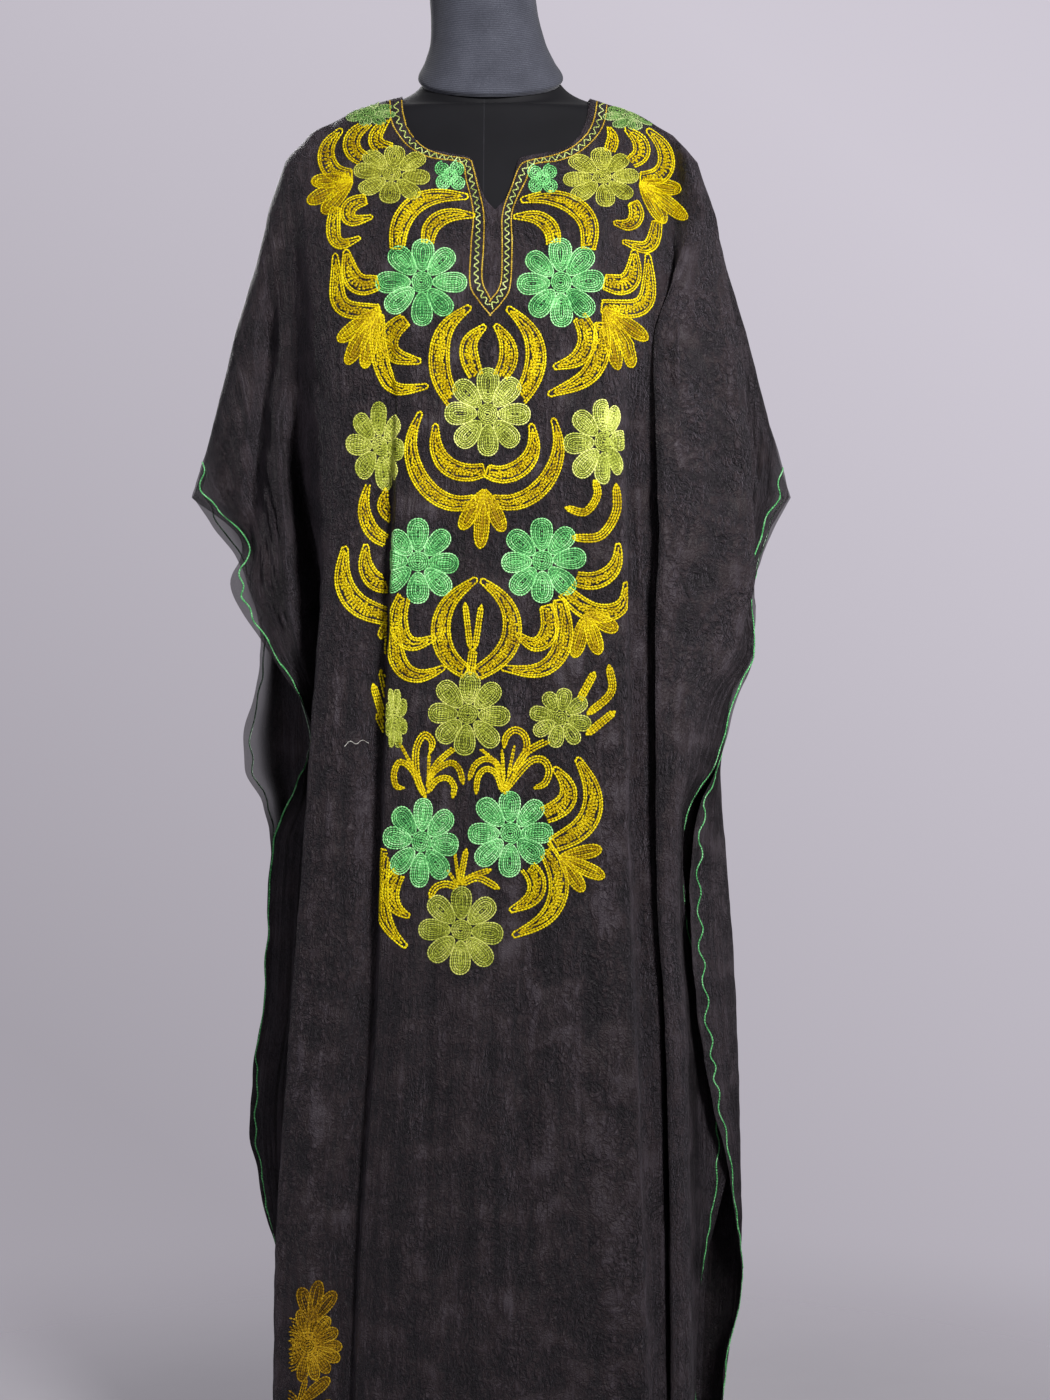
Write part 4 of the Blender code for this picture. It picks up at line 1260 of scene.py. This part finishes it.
def crescent(colour, points, width, part="panel"):
    # tip first: an outline row round a meander of close stitches
    line = curved(points)
    for _ in range(int(len(line) ** 2 / 45)):
        line[1:-1] = (line[:-2] + 2 * line[1:-1] + line[2:]) / 4
    t = np.linspace(0, 1, len(line))
    wide = width * (0.34 + 0.82 * np.sin(pi * (0.03 + t * 0.74)) ** 1.15)
    side = sideways(line)
    half = wide[:, None] / 2 - sewing["crescentEdge"]
    forward = (line[1] - line[0]) / np.linalg.norm(line[1] - line[0])
    tip = line[0] - forward * half[0] * 0.9
    outline = np.vstack([line + side * half, (line - side * half)[::-1], tip[None, :]])
    tone = chance.uniform(-0.15, 0.2)
    sew(colour, outline, part, sewing["outlineLift"] + 0.1, True, tone + 0.4)
    second = half - sewing["rowGap"] * 1.08
    keep = second[:, 0] > 1.3
    if keep.sum() > 8:
        inside = np.vstack([(line + side * second)[keep], (line - side * second)[keep][::-1]])
        sew(colour, inside, part, sewing["outlineLift"], True, tone - 0.05)
    legs = max(4, int(runOf(line)[-1] / (sewing["meanderPitch"] / 2)))
    at = np.linspace(0.05, 0.97, legs)
    inner, across = (np.stack([np.interp(at, t, value[:, k]) for k in (0, 1)], 1) for value in (line, side))
    reach = np.maximum(np.interp(at, t, wide) / 2 - sewing["meanderEdge"], 0.3)
    swing = swings(legs) * reach * chance.uniform(0.7, 1.1, legs)
    sew(colour, inner + across * swing[:, None], part, sewing["outlineLift"], False, tone - 0.2)


def stroke(colour, points, width, part="panel"):
    # side by side rows that draw together at the ends
    line = curved(points)
    t = np.linspace(0, 1, len(line))
    side = sideways(line)
    count = max(2, int(round(width / sewing["rowGap"])))
    tone = chance.uniform(-0.15, 0.2)
    spread = (width / 2 - 0.8) * np.sqrt(np.clip(1 - (2 * t - 1) ** 8, 0.05, 1))
    for k in range(count):
        off = (k - (count - 1) / 2) / max(1, (count - 1) / 2)
        row = line + side * (off * spread)[:, None]
        lift = sewing["strokeLift"] + 0.1 * (k % 2)
        sew(colour, row, part, lift, False, tone + 0.25 * abs(off) - 0.05)


def drop(colour, root, tip, width, part="panel", tone=-0.45):
    away = np.subtract(tip, root)
    length = float(np.hypot(*away))
    petalRows(colour, root, float(np.arctan2(away[1], away[0])), 0, length, width, (1, 1, 1), part,
              sewing["outlineLift"] + 0.05, tone + chance.uniform(-0.15, 0.2))


flowers = (
    # colour, across, down, radius, turn, share that shows of its left half, right half and height
    ("sage", 369, 113, 26, 12, (1, 1, 0.52)), ("sage", 631, 116, 28, -8, (1, 1, 0.5)),
    ("olive", 392.5, 174.5, 40, 6, (1, 0.97, 0.74)), ("olive", 603, 177.5, 40, -5, (1.04, 0.92, 0.72)),
    ("green", 421.5, 282, 44, 2, (1, 1, 0.97)), ("green", 560.5, 282.5, 43.5, -2, (1, 1, 1)),
    ("lime", 487.5, 414, 44, 0, (1, 0.96, 1)), ("moss", 374.5, 446.5, 43, 4, (0.76, 0.71, 1)),
    ("lime", 604, 442, 43, -4, (0.95, 0.52, 1)), ("green", 418, 562, 42, 3, (1, 1, 1)),
    ("green", 542, 561, 42, -3, (1, 1, 1)), ("moss", 468, 714.5, 41, 4, (1, 1, 1)),
    ("moss", 560.5, 718, 30, 12, (1, 1, 1)), ("moss", 394, 718, 31, 20, (0.3, 0.42, 1)),
    ("green", 421, 842, 42, 6, (0.93, 0.93, 1.05)), ("green", 510, 833, 43, -1, (1, 1, 1)),
    ("moss", 461, 930, 43, 3, (1, 1, 1)),
)
crescents = (
    # points from the tip to the root, width
    (((341, 131), (327, 146), (326.5, 163), (336, 175.5), (352, 176)), 16),
    (((373, 121.5), (353.5, 135), (352, 152), (368.5, 162)), 15),
    (((389, 119.5), (378, 131), (375.5, 145), (392, 149)), 13),
    (((648, 131), (663, 146), (667.5, 164), (659, 178), (640, 179)), 16),
    (((626.5, 130), (640, 142), (641, 156), (629, 163)), 15),
    (((608.5, 128.5), (612.5, 139), (608.5, 154)), 11),
    (((359, 238.5), (338.5, 246), (333, 232.5), (335.5, 208)), 12),
    (((371, 217.5), (348, 221.5), (349.5, 205), (366, 200)), 13),
    (((623.5, 242), (647, 249), (654, 238), (656.5, 221.5)), 12),
    (((615, 223), (629, 226), (637, 216), (633, 202.5)), 13),
    (((466, 197), (437, 195.5), (412.5, 205), (398.5, 227), (397.5, 249)), 17),
    (((473, 216), (448, 215), (430, 227), (427.5, 246)), 14),
    (((522.5, 200.5), (547, 196.5), (574, 205), (590.5, 224), (588, 249)), 17),
    (((515, 217), (538.5, 217.5), (553.5, 232.5), (552, 249)), 14),
    (((346.5, 252), (350.5, 274), (359, 286), (378, 283)), 18),
    (((335.5, 256), (337, 282), (341, 309), (379.5, 311)), 15),
    (((426, 386.5), (388, 390), (378, 353), (378, 315)), 15),
    (((419, 361.5), (390.5, 354.5), (389, 334), (405.5, 320)), 17),
    (((634, 252), (633, 274), (625, 286), (604, 282)), 18),
    (((647.5, 256), (648.5, 282), (642.5, 309), (601.5, 306.5)), 16),
    (((550, 394), (588, 378), (601.5, 350.5), (601.5, 323)), 17),
    (((555, 367), (579.5, 358.5), (589, 337), (579.5, 317.5)), 17),
    (((468.5, 308), (445.5, 326), (438.5, 353), (441, 380.5), (453.5, 402.5)), 18),
    (((484, 327), (468.5, 342), (470, 361.5), (477, 378)), 16),
    (((508.5, 309), (529, 328.5), (537, 353), (531.5, 380.5), (519, 400)), 18),
    (((496, 326), (507, 342), (508.5, 361.5), (499, 378)), 16),
    (((420, 414), (409.5, 435.5), (412.5, 465.5), (429, 493), (456, 507), (475.5, 501)), 15),
    (((435.5, 426), (435.5, 449), (448, 468), (470, 474), (484, 470)), 16),
    (((531.5, 426), (534.5, 449), (522, 468), (500, 476.5), (486.5, 471)), 16),
    (((553.5, 420.5), (560.5, 443.5), (552, 474), (533, 496), (508.5, 505.5), (492, 501)), 15),
    (((618, 545), (616, 567), (595, 582), (568, 577)), 15),
    (((626, 584), (624, 608), (592, 614), (562, 590)), 17),
    (((434, 638), (408, 646), (397, 620), (404, 596)), 16),
    (((443, 668), (417, 678), (398, 664), (393, 628)), 15),
    (((518, 635), (536, 647), (551, 630), (546, 606)), 16),
    (((503, 668), (543, 672), (565, 642), (559, 600)), 16),
    (((475, 580), (448, 601), (439, 631), (448, 660), (466, 672)), 17),
    (((482, 581), (505, 599), (514, 627), (504, 656), (476, 674)), 17),
    (((555, 769), (568, 784), (566, 804), (536, 819)), 17),
    (((578, 760), (591, 783), (594, 806), (583, 829), (552, 845)), 19),
    (((514, 935), (547, 919), (560, 892), (557, 868), (543, 845)), 17),
    (((511, 910), (534, 898), (537, 878), (522, 862)), 16),
    (((408, 916), (395, 908), (390, 890), (400, 870)), 15),
    (((405, 946), (388, 928), (379, 893), (385, 850)), 15),
)
sideCrescents = (
    (((345, 549), (342, 580), (357, 606), (392, 618)), 19),
    (((366, 546), (365, 566), (376, 583), (396, 585)), 16),
    (((368, 485), (363, 508), (373, 534), (396, 545)), 13),
    (((386, 490), (383, 507), (393, 520)), 11),
)
strokes = (
    (((595, 480), (597, 496), (585, 512), (566, 508)), 8),
    (((616, 485), (616, 512), (600, 536), (572, 538)), 9),
    (((465, 604), (470, 648)), 6), (((481, 606), (475, 648)), 6), (((473, 650), (470, 674)), 9),
    (((594, 673), (579, 701)), 8), (((609, 666), (611, 692), (588, 714)), 8), (((614, 712), (587, 734)), 8),
    (((425, 797), (417, 777), (416, 750), (424, 735), (432, 742), (430, 752)), 7),
    (((428, 782), (429, 754)), 5),
    (((423, 792), (412, 770), (400, 762), (394, 773), (396, 786), (403, 788)), 6),
    (((427, 786), (434, 772), (450, 763), (459, 769), (463, 783)), 6),
    (((428, 792), (436, 781), (447, 778), (454, 786), (453, 797)), 6),
    (((428, 780), (438, 762), (460, 744)), 6), (((420, 778), (410, 762), (400, 744)), 5),
    (((505, 793), (512, 775), (526, 750), (524, 735), (514, 730), (506, 737), (504, 747)), 7),
    (((504, 780), (502, 751)), 5), (((508, 776), (514, 747)), 5),
    (((503, 789), (497, 765), (486, 759), (475, 765), (469, 779)), 6),
    (((502, 791), (496, 774), (486, 769), (478, 777), (476, 793)), 6),
    (((499, 772), (494, 761), (477, 746)), 5),
    (((506, 790), (517, 775), (531, 761), (543, 760), (549, 770), (545, 783), (535, 788)), 7),
    (((514, 770), (527, 752), (551, 739)), 7), (((459, 884), (455, 854)), 5), (((460, 882), (466, 850)), 6),
    (((457, 887), (445, 884), (435, 888), (430, 897)), 7), (((462, 884), (478, 878), (498, 888)), 7),
    (((461, 882), (475, 875), (490, 870)), 6), (((457, 884), (448, 871)), 5),
)
sideStrokes = ((((373, 685), (388, 733)), 8), (((381, 671), (389, 706)), 7), (((377, 715), (391, 741)), 7))
palmettes = (
    # root, tips of its petals, their width, part of the cloth
    ((352, 180.5), ((312, 182), (308, 202.5), (323, 213.5)), 14, "panel"),
    ((640, 183), ((681, 190), (686.5, 219), (664.5, 223)), 14, "panel"),
    ((379.5, 309), ((338.5, 341), (345, 364), (362, 368)), 14, "panel"),
    ((604, 309), ((647, 339.5), (638.5, 367), (618, 369.5)), 14, "panel"),
    ((484, 490), ((461, 529), (480, 548), (503, 531)), 14, "panel"),
    ((586, 614), ((574, 657), (599, 654), (617, 630)), 14, "panel"),
    ((560, 857), ((601, 849), (604, 877), (583, 891)), 13, "panel"),
    ((396, 612), ((380, 638), (388, 656)), 10, "side"),
)
roundFlowers = ((450, 176), (542.5, 179))


def drawYoke():
    for colour, across, down, radius, turn, squash in flowers:
        flower(colour, across, down, radius, turn, squash)
    for across, down in roundFlowers:
        roundFlower("green", across, down)
    for part, group in (("panel", crescents), ("side", sideCrescents)):
        for points, width in group:
            crescent("mustard", points, width, part)
    for part, group in (("panel", strokes), ("side", sideStrokes)):
        for points, width in group:
            stroke("mustard", points, width, part)
    for root, tips, width, part in palmettes:
        for tip in tips:
            drop("mustard", root, tip, width, part)


def drawHemCorner():
    # the golden-brown flower at the front's lower corner
    flower("bronze", 308, 1345, 34, 0, (1, 1, 1.05), "side", petals=14)
    for tip in ((301, 1288), (319, 1281), (335, 1292)):
        drop("bronze", (311, 1322), tip, 13, "side", -0.7)
    stroke("bronze", ((306, 1378), (300, 1400), (292, 1424)), 6, "side")
    for root, tip in (((301, 1402), (329, 1378)), ((298, 1408), (275, 1370)), ((296, 1420), (332, 1402)),
                      ((294, 1424), (266, 1398))):
        drop("bronze", root, tip, 11, "side")


neckBand = {
    # outer and inner gold rows on each side, from the shoulder down to the point of the placket
    "leftOuter": (
        (390, 101), (392, 122), (401, 138), (412, 149), (431, 158), (461, 163),
        (466, 180), (473, 212), (471, 245), (470, 284), (478, 300), (490, 315),
    ),
    "leftInner": (
        (401.5, 100), (404, 117), (411, 134), (424, 148), (444, 155.5), (468, 159.5),
        (472.5, 166), (477, 184), (483.5, 213), (483.5, 245), (482, 280), (490, 299),
    ),
    "rightOuter": (
        (607, 101), (604, 122), (595, 138), (578, 153), (558, 161), (533, 165),
        (526, 180), (512, 212), (512, 245), (510, 286), (502, 302), (490, 315),
    ),
    "rightInner": (
        (597, 100), (594, 118), (586, 135), (569, 149.5), (550, 156.5), (527, 161.5),
        (519, 168), (512, 186), (502.5, 213.5), (502, 245), (500.5, 284), (490, 301),
    ),
    "pitch": 7.8,
    "swing": 2.3,
    "lift": 0.12,
}
strayEnd = ((345, 746), (350, 741), (356, 744), (362, 740), (368, 743))


def drawNeckBand():
    lift = neckBand["lift"]
    for side in ("left", "right"):
        outer, inner = (curved(neckBand[side + name], 1.2) for name in ("Outer", "Inner"))
        for row in (outer, inner):
            sew("gold", row, lift=lift, tone=0.1)
        share = np.linspace(0, 1, 400)
        middle = (resampled(outer, share) + resampled(inner, share)) / 2
        count = int(runOf(middle)[-1] / (neckBand["pitch"] / 2))
        line = resampled(middle, np.linspace(0.01, 0.995, count))
        swing = swings(count)[:, None] * neckBand["swing"]
        sew("zigzag", curved(line + sideways(line) * swing, 0.9), lift=lift)


drawYoke()
drawHemCorner()
drawNeckBand()
sew("loose", curved(strayEnd), "side", 0.3)
print(len(sewnRows), "rows drawn")


def underFlower(drawing):
    # mustard rows stop where a flower covers them
    covered = np.zeros(len(drawing), bool)
    for _, across, down, radius, _, squash in flowers:
        x, y = drawing[:, 0] - across, (drawing[:, 1] - down) / squash[2]
        x = x / np.where(x < 0, squash[0], squash[1])
        covered |= np.hypot(x, y) < radius * sewing["cover"]
    for across, down in roundFlowers:
        covered |= np.hypot(drawing[:, 0] - across, drawing[:, 1] - down) < sewing["roundCover"]
    return covered


def rowsOnCloth():
    # lays all rows on the cloth at once; a row that meets a fold's far side stops there
    found = {}
    for part in ("panel", "side"):
        rows = [row for row in sewnRows if row[2] == part]
        ends = np.cumsum([0] + [len(row[1]) for row in rows])
        drawing = np.vstack([row[1] for row in rows])
        place, lie, good = frontMap.seen(drawing, part)
        mustard = np.concatenate([np.full(len(row[1]), row[0] == "mustard") for row in rows])
        good &= ~(mustard & underFlower(drawing))
        for row, a, b in zip(rows, ends, ends[1:]):
            colour, _, _, lift, closed, tone = row
            onto = place[a:b] + lie[a:b] * (lift + frontCloth["wall"] / 2)
            if good[a:b].all():
                found.setdefault(colour, []).append((onto, lie[a:b], closed, tone))
                continue
            run = []
            for k in range(b - a + 1):
                if k < b - a and good[a + k]:
                    run.append(k)
                    continue
                if len(run) > 1:
                    found.setdefault(colour, []).append((onto[run], lie[a:b][run], False, tone))
                run = []
    return found


edgeLine = {
    # how far from the middle the wavy line runs, by height, so that it turns with the edge; left, then right
    "front": (
        ((1110, 560), (770, 560), (735, 592), (470, 592), (440, 566), (70, 566)),
        ((1110, 560), (70, 560)),
    ),
    "back": (((1110, 570), (70, 570)), ((1110, 570), (70, 570))),
    "wave": 7.0,
    "waveLength": 36.0,
    "drift": 0.35,
    "belowTop": 2,
}


def edgeRow(cloth, name, side, wall, inward):
    # the wavy line beside a free edge; inward is the same row on the wrong side of the cloth
    table = edgeLine[name][0 if side < 0 else 1]
    heights = np.arange(1100, hem + 6, -2.0)
    run = np.interp(-heights, [-row[0] for row in table], pick(table, 1))
    drift = edgeLine["drift"] * softNoise(heights / 61, heights * 0, 71 + side)
    turns = heights / edgeLine["waveLength"] + drift
    swing = edgeLine["wave"] * np.sin(2 * pi * turns) * np.clip((600 - run) / 30, 0, 1)
    distance = (run + swing) * side
    place, lie = cloth.at(distance, heights)
    top = np.interp(distance, cloth.distances, cloth.tops)
    good = ~np.isnan(place[:, 0]) & (heights < top - edgeLine["belowTop"])
    lie = -lie if inward else lie
    return place[good] + lie[good] * (wall / 2 + 0.05), lie[good], False, 0.0


flowerStitch = (3.2, 2.1, 0.95)
threads = {
    # length, width and height of a stitch; deep, middle and bright colours, where deep is the thread painted
    # as in shade and bright the thread painted as in highlight
    "mustard": ((3.3, 2.5, 0.95), (0.22, 0.13, 0.0), (0.53, 0.40, 0.0), (0.76, 0.64, 0.008)),
    "bronze": ((3.3, 2.2, 0.9), (0.08, 0.04, 0.001), (0.27, 0.15, 0.003), (0.45, 0.29, 0.012)),
    "green": (flowerStitch, (0.035, 0.20, 0.055), (0.15, 0.52, 0.16), (0.40, 0.78, 0.37)),
    "lime": (flowerStitch, (0.16, 0.19, 0.018), (0.42, 0.48, 0.075), (0.68, 0.71, 0.23)),
    "moss": (flowerStitch, (0.12, 0.14, 0.009), (0.32, 0.365, 0.04), (0.55, 0.57, 0.14)),
    "sage": (flowerStitch, (0.035, 0.10, 0.02), (0.14, 0.27, 0.065), (0.36, 0.44, 0.19)),
    "olive": (flowerStitch, (0.14, 0.14, 0.008), (0.34, 0.355, 0.035), (0.54, 0.54, 0.11)),
    "gold": ((2.7, 1.9, 0.8), (0.14, 0.075, 0.004), (0.42, 0.27, 0.02), (0.62, 0.47, 0.09)),
    "zigzag": ((2.2, 1.8, 0.8), (0.12, 0.16, 0.02), (0.44, 0.52, 0.15), (0.70, 0.76, 0.38)),
    "edge": ((3.0, 2.3, 0.8), (0.03, 0.17, 0.05), (0.10, 0.42, 0.14), (0.34, 0.70, 0.38)),
    "reverse": ((5.2, 0.9, 0.45), (0.20, 0.30, 0.22), (0.30, 0.42, 0.32), (0.42, 0.54, 0.44)),
    "loose": ((1.8, 0.8, 0.6), (0.30, 0.29, 0.26), (0.50, 0.49, 0.45), (0.62, 0.61, 0.57)),
}
stitch = {
    "tones": (0.28, 0.5, 0.74),
    "overlap": 1.32,
    "least": (0.92, 0.88, 0.8),
    "most": (1.1, 1.1, 1.15),
    "shade": 0.35,
}


def buildThreadGroup():
    # a twisted filament: soft changes along the row and fine strands across each stitch, as the tone that
    # moves each stitch between its painted shade and painted highlight colours
    tree, (place, rowTone), out = newGroup(
        "twistedThread", "Shader", (("Vector", "Vector"), ("Row Tone", "Float")),
        (("Tone", "Float"), ("Height", "Float")),
    )
    strand = noise(tree, place, 1500.0, 2.0)
    mixed = noise(tree, place, 55.0, 2.0) * 0.55 + strand * 0.45
    setSockets(out, {"Tone": mixed + rowTone * 0.22, "Height": strand})
    return tree


twisted = buildThreadGroup()


def threadMaterial(name, colours):
    made, tree, shader, place = newMaterial(name + "Thread", Roughness=0.5, Specular_IOR_Level=0.12)
    rowTone = addNode(tree, "ShaderNodeAttribute", {"attribute_name": "tone"}).outputs["Fac"]
    tone, height = placeGroup(tree, twisted, Vector=place, Row_Tone=rowTone)
    # painted shade and highlight: each stitch's tone picks its colour between the thread's shaded and lit
    # colours
    dress(tree, shader, tone, tuple(zip(stitch["tones"], colours)), height, 0.35, 0.0002)
    return made


def stitchLink():
    # one low rounded stitch, narrower where it comes out of the last, in a box of one by one by one
    points, faces = [(-0.5, 0, 0.12)], []
    for x, share in ((-0.2, 0.82), (0.22, 1.0)):
        points += [(x, y * share, z) for y, z in ((-0.5, 0), (-0.24, 0.9), (0.24, 0.9), (0.5, 0))]
    points.append((0.5, 0, 0.2))
    for k in range(3):
        faces += [(0, 1 + k, 2 + k), (1 + k, 5 + k, 6 + k, 2 + k), (9, 6 + k, 5 + k)]
    faces += [(0, 4, 1), (1, 4, 8, 5), (9, 5, 8)]
    return newObject("stitchLink", points, faces)


def buildStitchTree():
    # rows of edges become curves; a link stands on each even step, turned along the row and off the cloth
    tree, (rows, length, width, height, seed, link, thread), out = newGroup(
        "chainStitch", "Geometry",
        (("Rows", "Geometry"), ("Stitch Length", "Float"), ("Stitch Width", "Float"),
         ("Stitch Height", "Float"), ("Seed", "Int"), ("Link", "Object"), ("Thread", "Material")),
        (("Stitches", "Geometry"),),
    )
    curve = addNode(tree, "GeometryNodeMeshToCurve", Mesh=rows).outputs["Curve"]
    even = addNode(tree, "GeometryNodeResampleCurve", {"mode": "LENGTH"}, Curve=curve, Length=length)
    up, tone = (
        addNode(tree, "GeometryNodeInputNamedAttribute", {"data_type": kind}, Name=name).outputs["Attribute"]
        for kind, name in (("FLOAT_VECTOR", "up"), ("FLOAT", "tone"))
    )
    tangent = tree.nodes.new("GeometryNodeInputTangent")
    turn = addNode(tree, "FunctionNodeAxesToRotation", {"primary_axis": "Z", "secondary_axis": "X"},
                   Primary_Axis=up, Secondary_Axis=tangent.outputs["Tangent"])
    size = addNode(tree, "ShaderNodeCombineXYZ", X=length * stitch["overlap"], Y=width, Z=height)
    uneven = addNode(tree, "FunctionNodeRandomValue", {"data_type": "FLOAT_VECTOR"}, Seed=seed)
    setSockets(uneven, {0: stitch["least"], 1: stitch["most"]})
    scaled = addNode(tree, "ShaderNodeVectorMath", {"operation": "MULTIPLY"})
    setSockets(scaled, {0: size.outputs["Vector"], 1: uneven.outputs[0]})
    shade = addNode(tree, "FunctionNodeRandomValue", {"data_type": "FLOAT"}, Seed=seed)
    setSockets(shade, {2: -stitch["shade"], 3: stitch["shade"]})
    stand = addNode(
        tree, "GeometryNodeInstanceOnPoints", Points=even.outputs["Curve"],
        Instance=addNode(tree, "GeometryNodeObjectInfo", Object=link).outputs["Geometry"],
        Rotation=turn.outputs["Rotation"], Scale=scaled.outputs["Vector"],
    )
    keep = addNode(
        tree, "GeometryNodeStoreNamedAttribute", {"data_type": "FLOAT", "domain": "INSTANCE"}, Name="tone",
        Geometry=stand.outputs["Instances"], Value=Flow(tree, tone) + Flow(tree, shade.outputs[1]),
    )
    real = addNode(tree, "GeometryNodeRealizeInstances", Geometry=keep.outputs["Geometry"])
    paint = addNode(tree, "GeometryNodeSetMaterial", Geometry=real.outputs["Geometry"], Material=thread)
    setSockets(out, {"Stitches": paint.outputs["Geometry"]})
    return tree


stitchTree = buildStitchTree()
linkSource = stitchLink()


def workRows(name, colour, rows, seed):
    points, edges, ups, tones = [], [], [], []
    for place, lie, closed, tone in rows:
        start = len(points)
        points += list(place * mm)
        ups += list(lie)
        tones += [tone] * len(place)
        edges += [(start + k, start + k + 1) for k in range(len(place) - 1)]
        if closed:
            edges.append((start + len(place) - 1, start))
    made = newObject(name, points, [], edges=edges)
    layers = (("up", "FLOAT_VECTOR", "vector", ups), ("tone", "FLOAT", "value", tones))
    for label, kind, key, values in layers:
        layer = made.data.attributes.new(label, kind, "POINT")
        layer.data.foreach_set(key, np.array(values, np.float32).ravel())
    (length, width, height), *colours = threads[colour]
    values = {
        "Stitch Length": length * mm, "Stitch Width": width * mm, "Stitch Height": height * mm,
        "Seed": seed, "Link": linkSource, "Thread": threadMaterial(name, colours),
    }
    stitches = made.modifiers.new("Stitches", "NODES")
    stitches.node_group = stitchTree
    for item in stitchTree.interface.items_tree:
        if item.name in values:
            stitches[item.identifier] = values[item.name]
    plainMesh(made)
    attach(made, "root")
    print(name, len(made.data.polygons), "faces")


yokeFoot = 1075  # the mustard sewing is two pieces, parted at this height


def buildSewing():
    rows = rowsOnCloth()
    mustard = rows.pop("mustard")
    high = [row for row in mustard if row[0][:, 2].mean() > yokeFoot]
    low = [row for row in mustard if row[0][:, 2].mean() <= yokeFoot]
    workRows("mustard_upper", "mustard", high, 3)
    workRows("mustard_lower", "mustard", low, 4)
    for k, (colour, found) in enumerate(sorted(rows.items())):
        workRows(colour + "_sewing", colour, found, 10 + k)
    edges, reverse = [], []
    for cloth, name, settings in ((frontMap, "front", frontCloth), (backMap, "back", backCloth)):
        for side in (-1, 1):
            edges.append(edgeRow(cloth, name, side, settings["wall"], False))
            reverse.append(edgeRow(cloth, name, side, settings["wall"], True))
    workRows("edge_sewing", "edge", edges, 20)
    workRows("edge_sewing_reverse", "reverse", reverse, 21)


buildSewing()
bpy.data.objects.remove(linkSource, do_unlink=True)
print("sewing ready")


# Studio: a pale floor that melts into a lavender-grey room, soft lamps, a camera at chest height

studio = {
    "room": (0.60, 0.565, 0.635),
    "roomLight": 0.30,  # the room lights the cloth less than it shows behind it
    "slope": (0.55, 0.70, 0.82),  # how the wall brightens to the right and upwards, and its middle
    "wallRange": (0.62, 1.04),
    "floorRadius": 1.5,
    "floorSides": 96,
    "floorFade": (0.35, 1.455),
    "floorTones": ((0.3, (0.40, 0.385, 0.42)), (0.7, (0.43, 0.415, 0.45))),
    "lamps": (
        # name, place, aim, size, spread, watts, colour
        ("keyLamp", (1.15, -2.5, 2.0), (0.0, -0.1, 1.15), 0.6, 72, 20, (1.0, 0.985, 0.97)),
        ("fillLamp", (-1.6, -2.4, 1.7), (0.0, -0.1, 1.1), 1.6, 180, 12, (0.96, 0.97, 1.0)),
        ("lowLamp", (-1.5, -2.0, 0.7), (-0.25, 0.0, 0.9), 1.0, 180, 3, (0.97, 0.97, 1.0)),
        ("sideLamp", (2.4, -0.6, 1.4), (0.1, 0.0, 0.9), 1.2, 180, 9, (1.0, 1.0, 1.0)),
        ("backLamp", (-0.8, 2.2, 2.2), (0.0, 0.0, 1.0), 1.4, 180, 40, (1.0, 1.0, 1.0)),
    ),
}


def floorMaterial():
    made, tree, shader, place = newMaterial("paleFloor", Roughness=0.9)
    distance = addNode(tree, "ShaderNodeVectorMath", {"operation": "LENGTH"}, Vector=place)
    grain = noise(tree, place, 3.0, 4.0)
    dress(tree, shader, grain, studio["floorTones"], grain, 0.0, 0.001)
    fade = eased(Flow(tree, distance.outputs["Value"]), *studio["floorFade"], 1.0, 0.0)
    setSockets(shader, {"Alpha": fade})
    return made


def buildStudio():
    sides, radius = studio["floorSides"], studio["floorRadius"]
    rim = [(radius * cos(2 * pi * k / sides), radius * sin(2 * pi * k / sides), 0.0) for k in range(sides)]
    floor = newObject("floor", rim, [range(sides)], floorMaterial())
    world = bpy.data.worlds.new("room")
    bpy.context.scene.world = world
    world.use_nodes = True
    tree = world.node_tree
    sky = tree.nodes["Background"]
    sky.inputs["Color"].default_value = (*studio["room"], 1)
    seen = Flow(tree, tree.nodes.new("ShaderNodeLightPath").outputs["Is Camera Ray"])
    right, _, up = split(tree, tree.nodes.new("ShaderNodeTexCoord").outputs["Generated"])
    byRight, byHeight, middle = studio["slope"]
    least, most = studio["wallRange"]
    wall = (right * byRight + up * byHeight + middle).atLeast(least).atMost(most)
    setSockets(sky, {"Strength": wall * seen + (1.0 - seen) * studio["roomLight"]})
    for name, place, aim, size, spread, watts, colour in studio["lamps"]:
        data = bpy.data.lights.new(name, "AREA")
        data.shape = "DISK"
        data.size = size
        data.energy = watts
        data.color = colour
        data.spread = radians(spread)
        lamp = bpy.data.objects.new(name, data)
        bpy.context.scene.collection.objects.link(lamp)
        lamp.location = place
        lamp.rotation_euler = (Vector(aim) - Vector(place)).to_track_quat("-Z", "Y").to_euler()
    data = bpy.data.cameras.new("photoCamera")
    data.sensor_fit = "VERTICAL"
    data.sensor_height = data.sensor_width = picture["sensor"]
    data.lens = picture["lens"]
    camera = bpy.data.objects.new("photoCamera", data)
    bpy.context.scene.collection.objects.link(camera)
    camera.location = Vector(picture["eye"]) * mm
    camera.rotation_euler = (radians(90), 0, 0)
    bpy.context.scene.camera = camera


buildStudio()
print("studio ready")
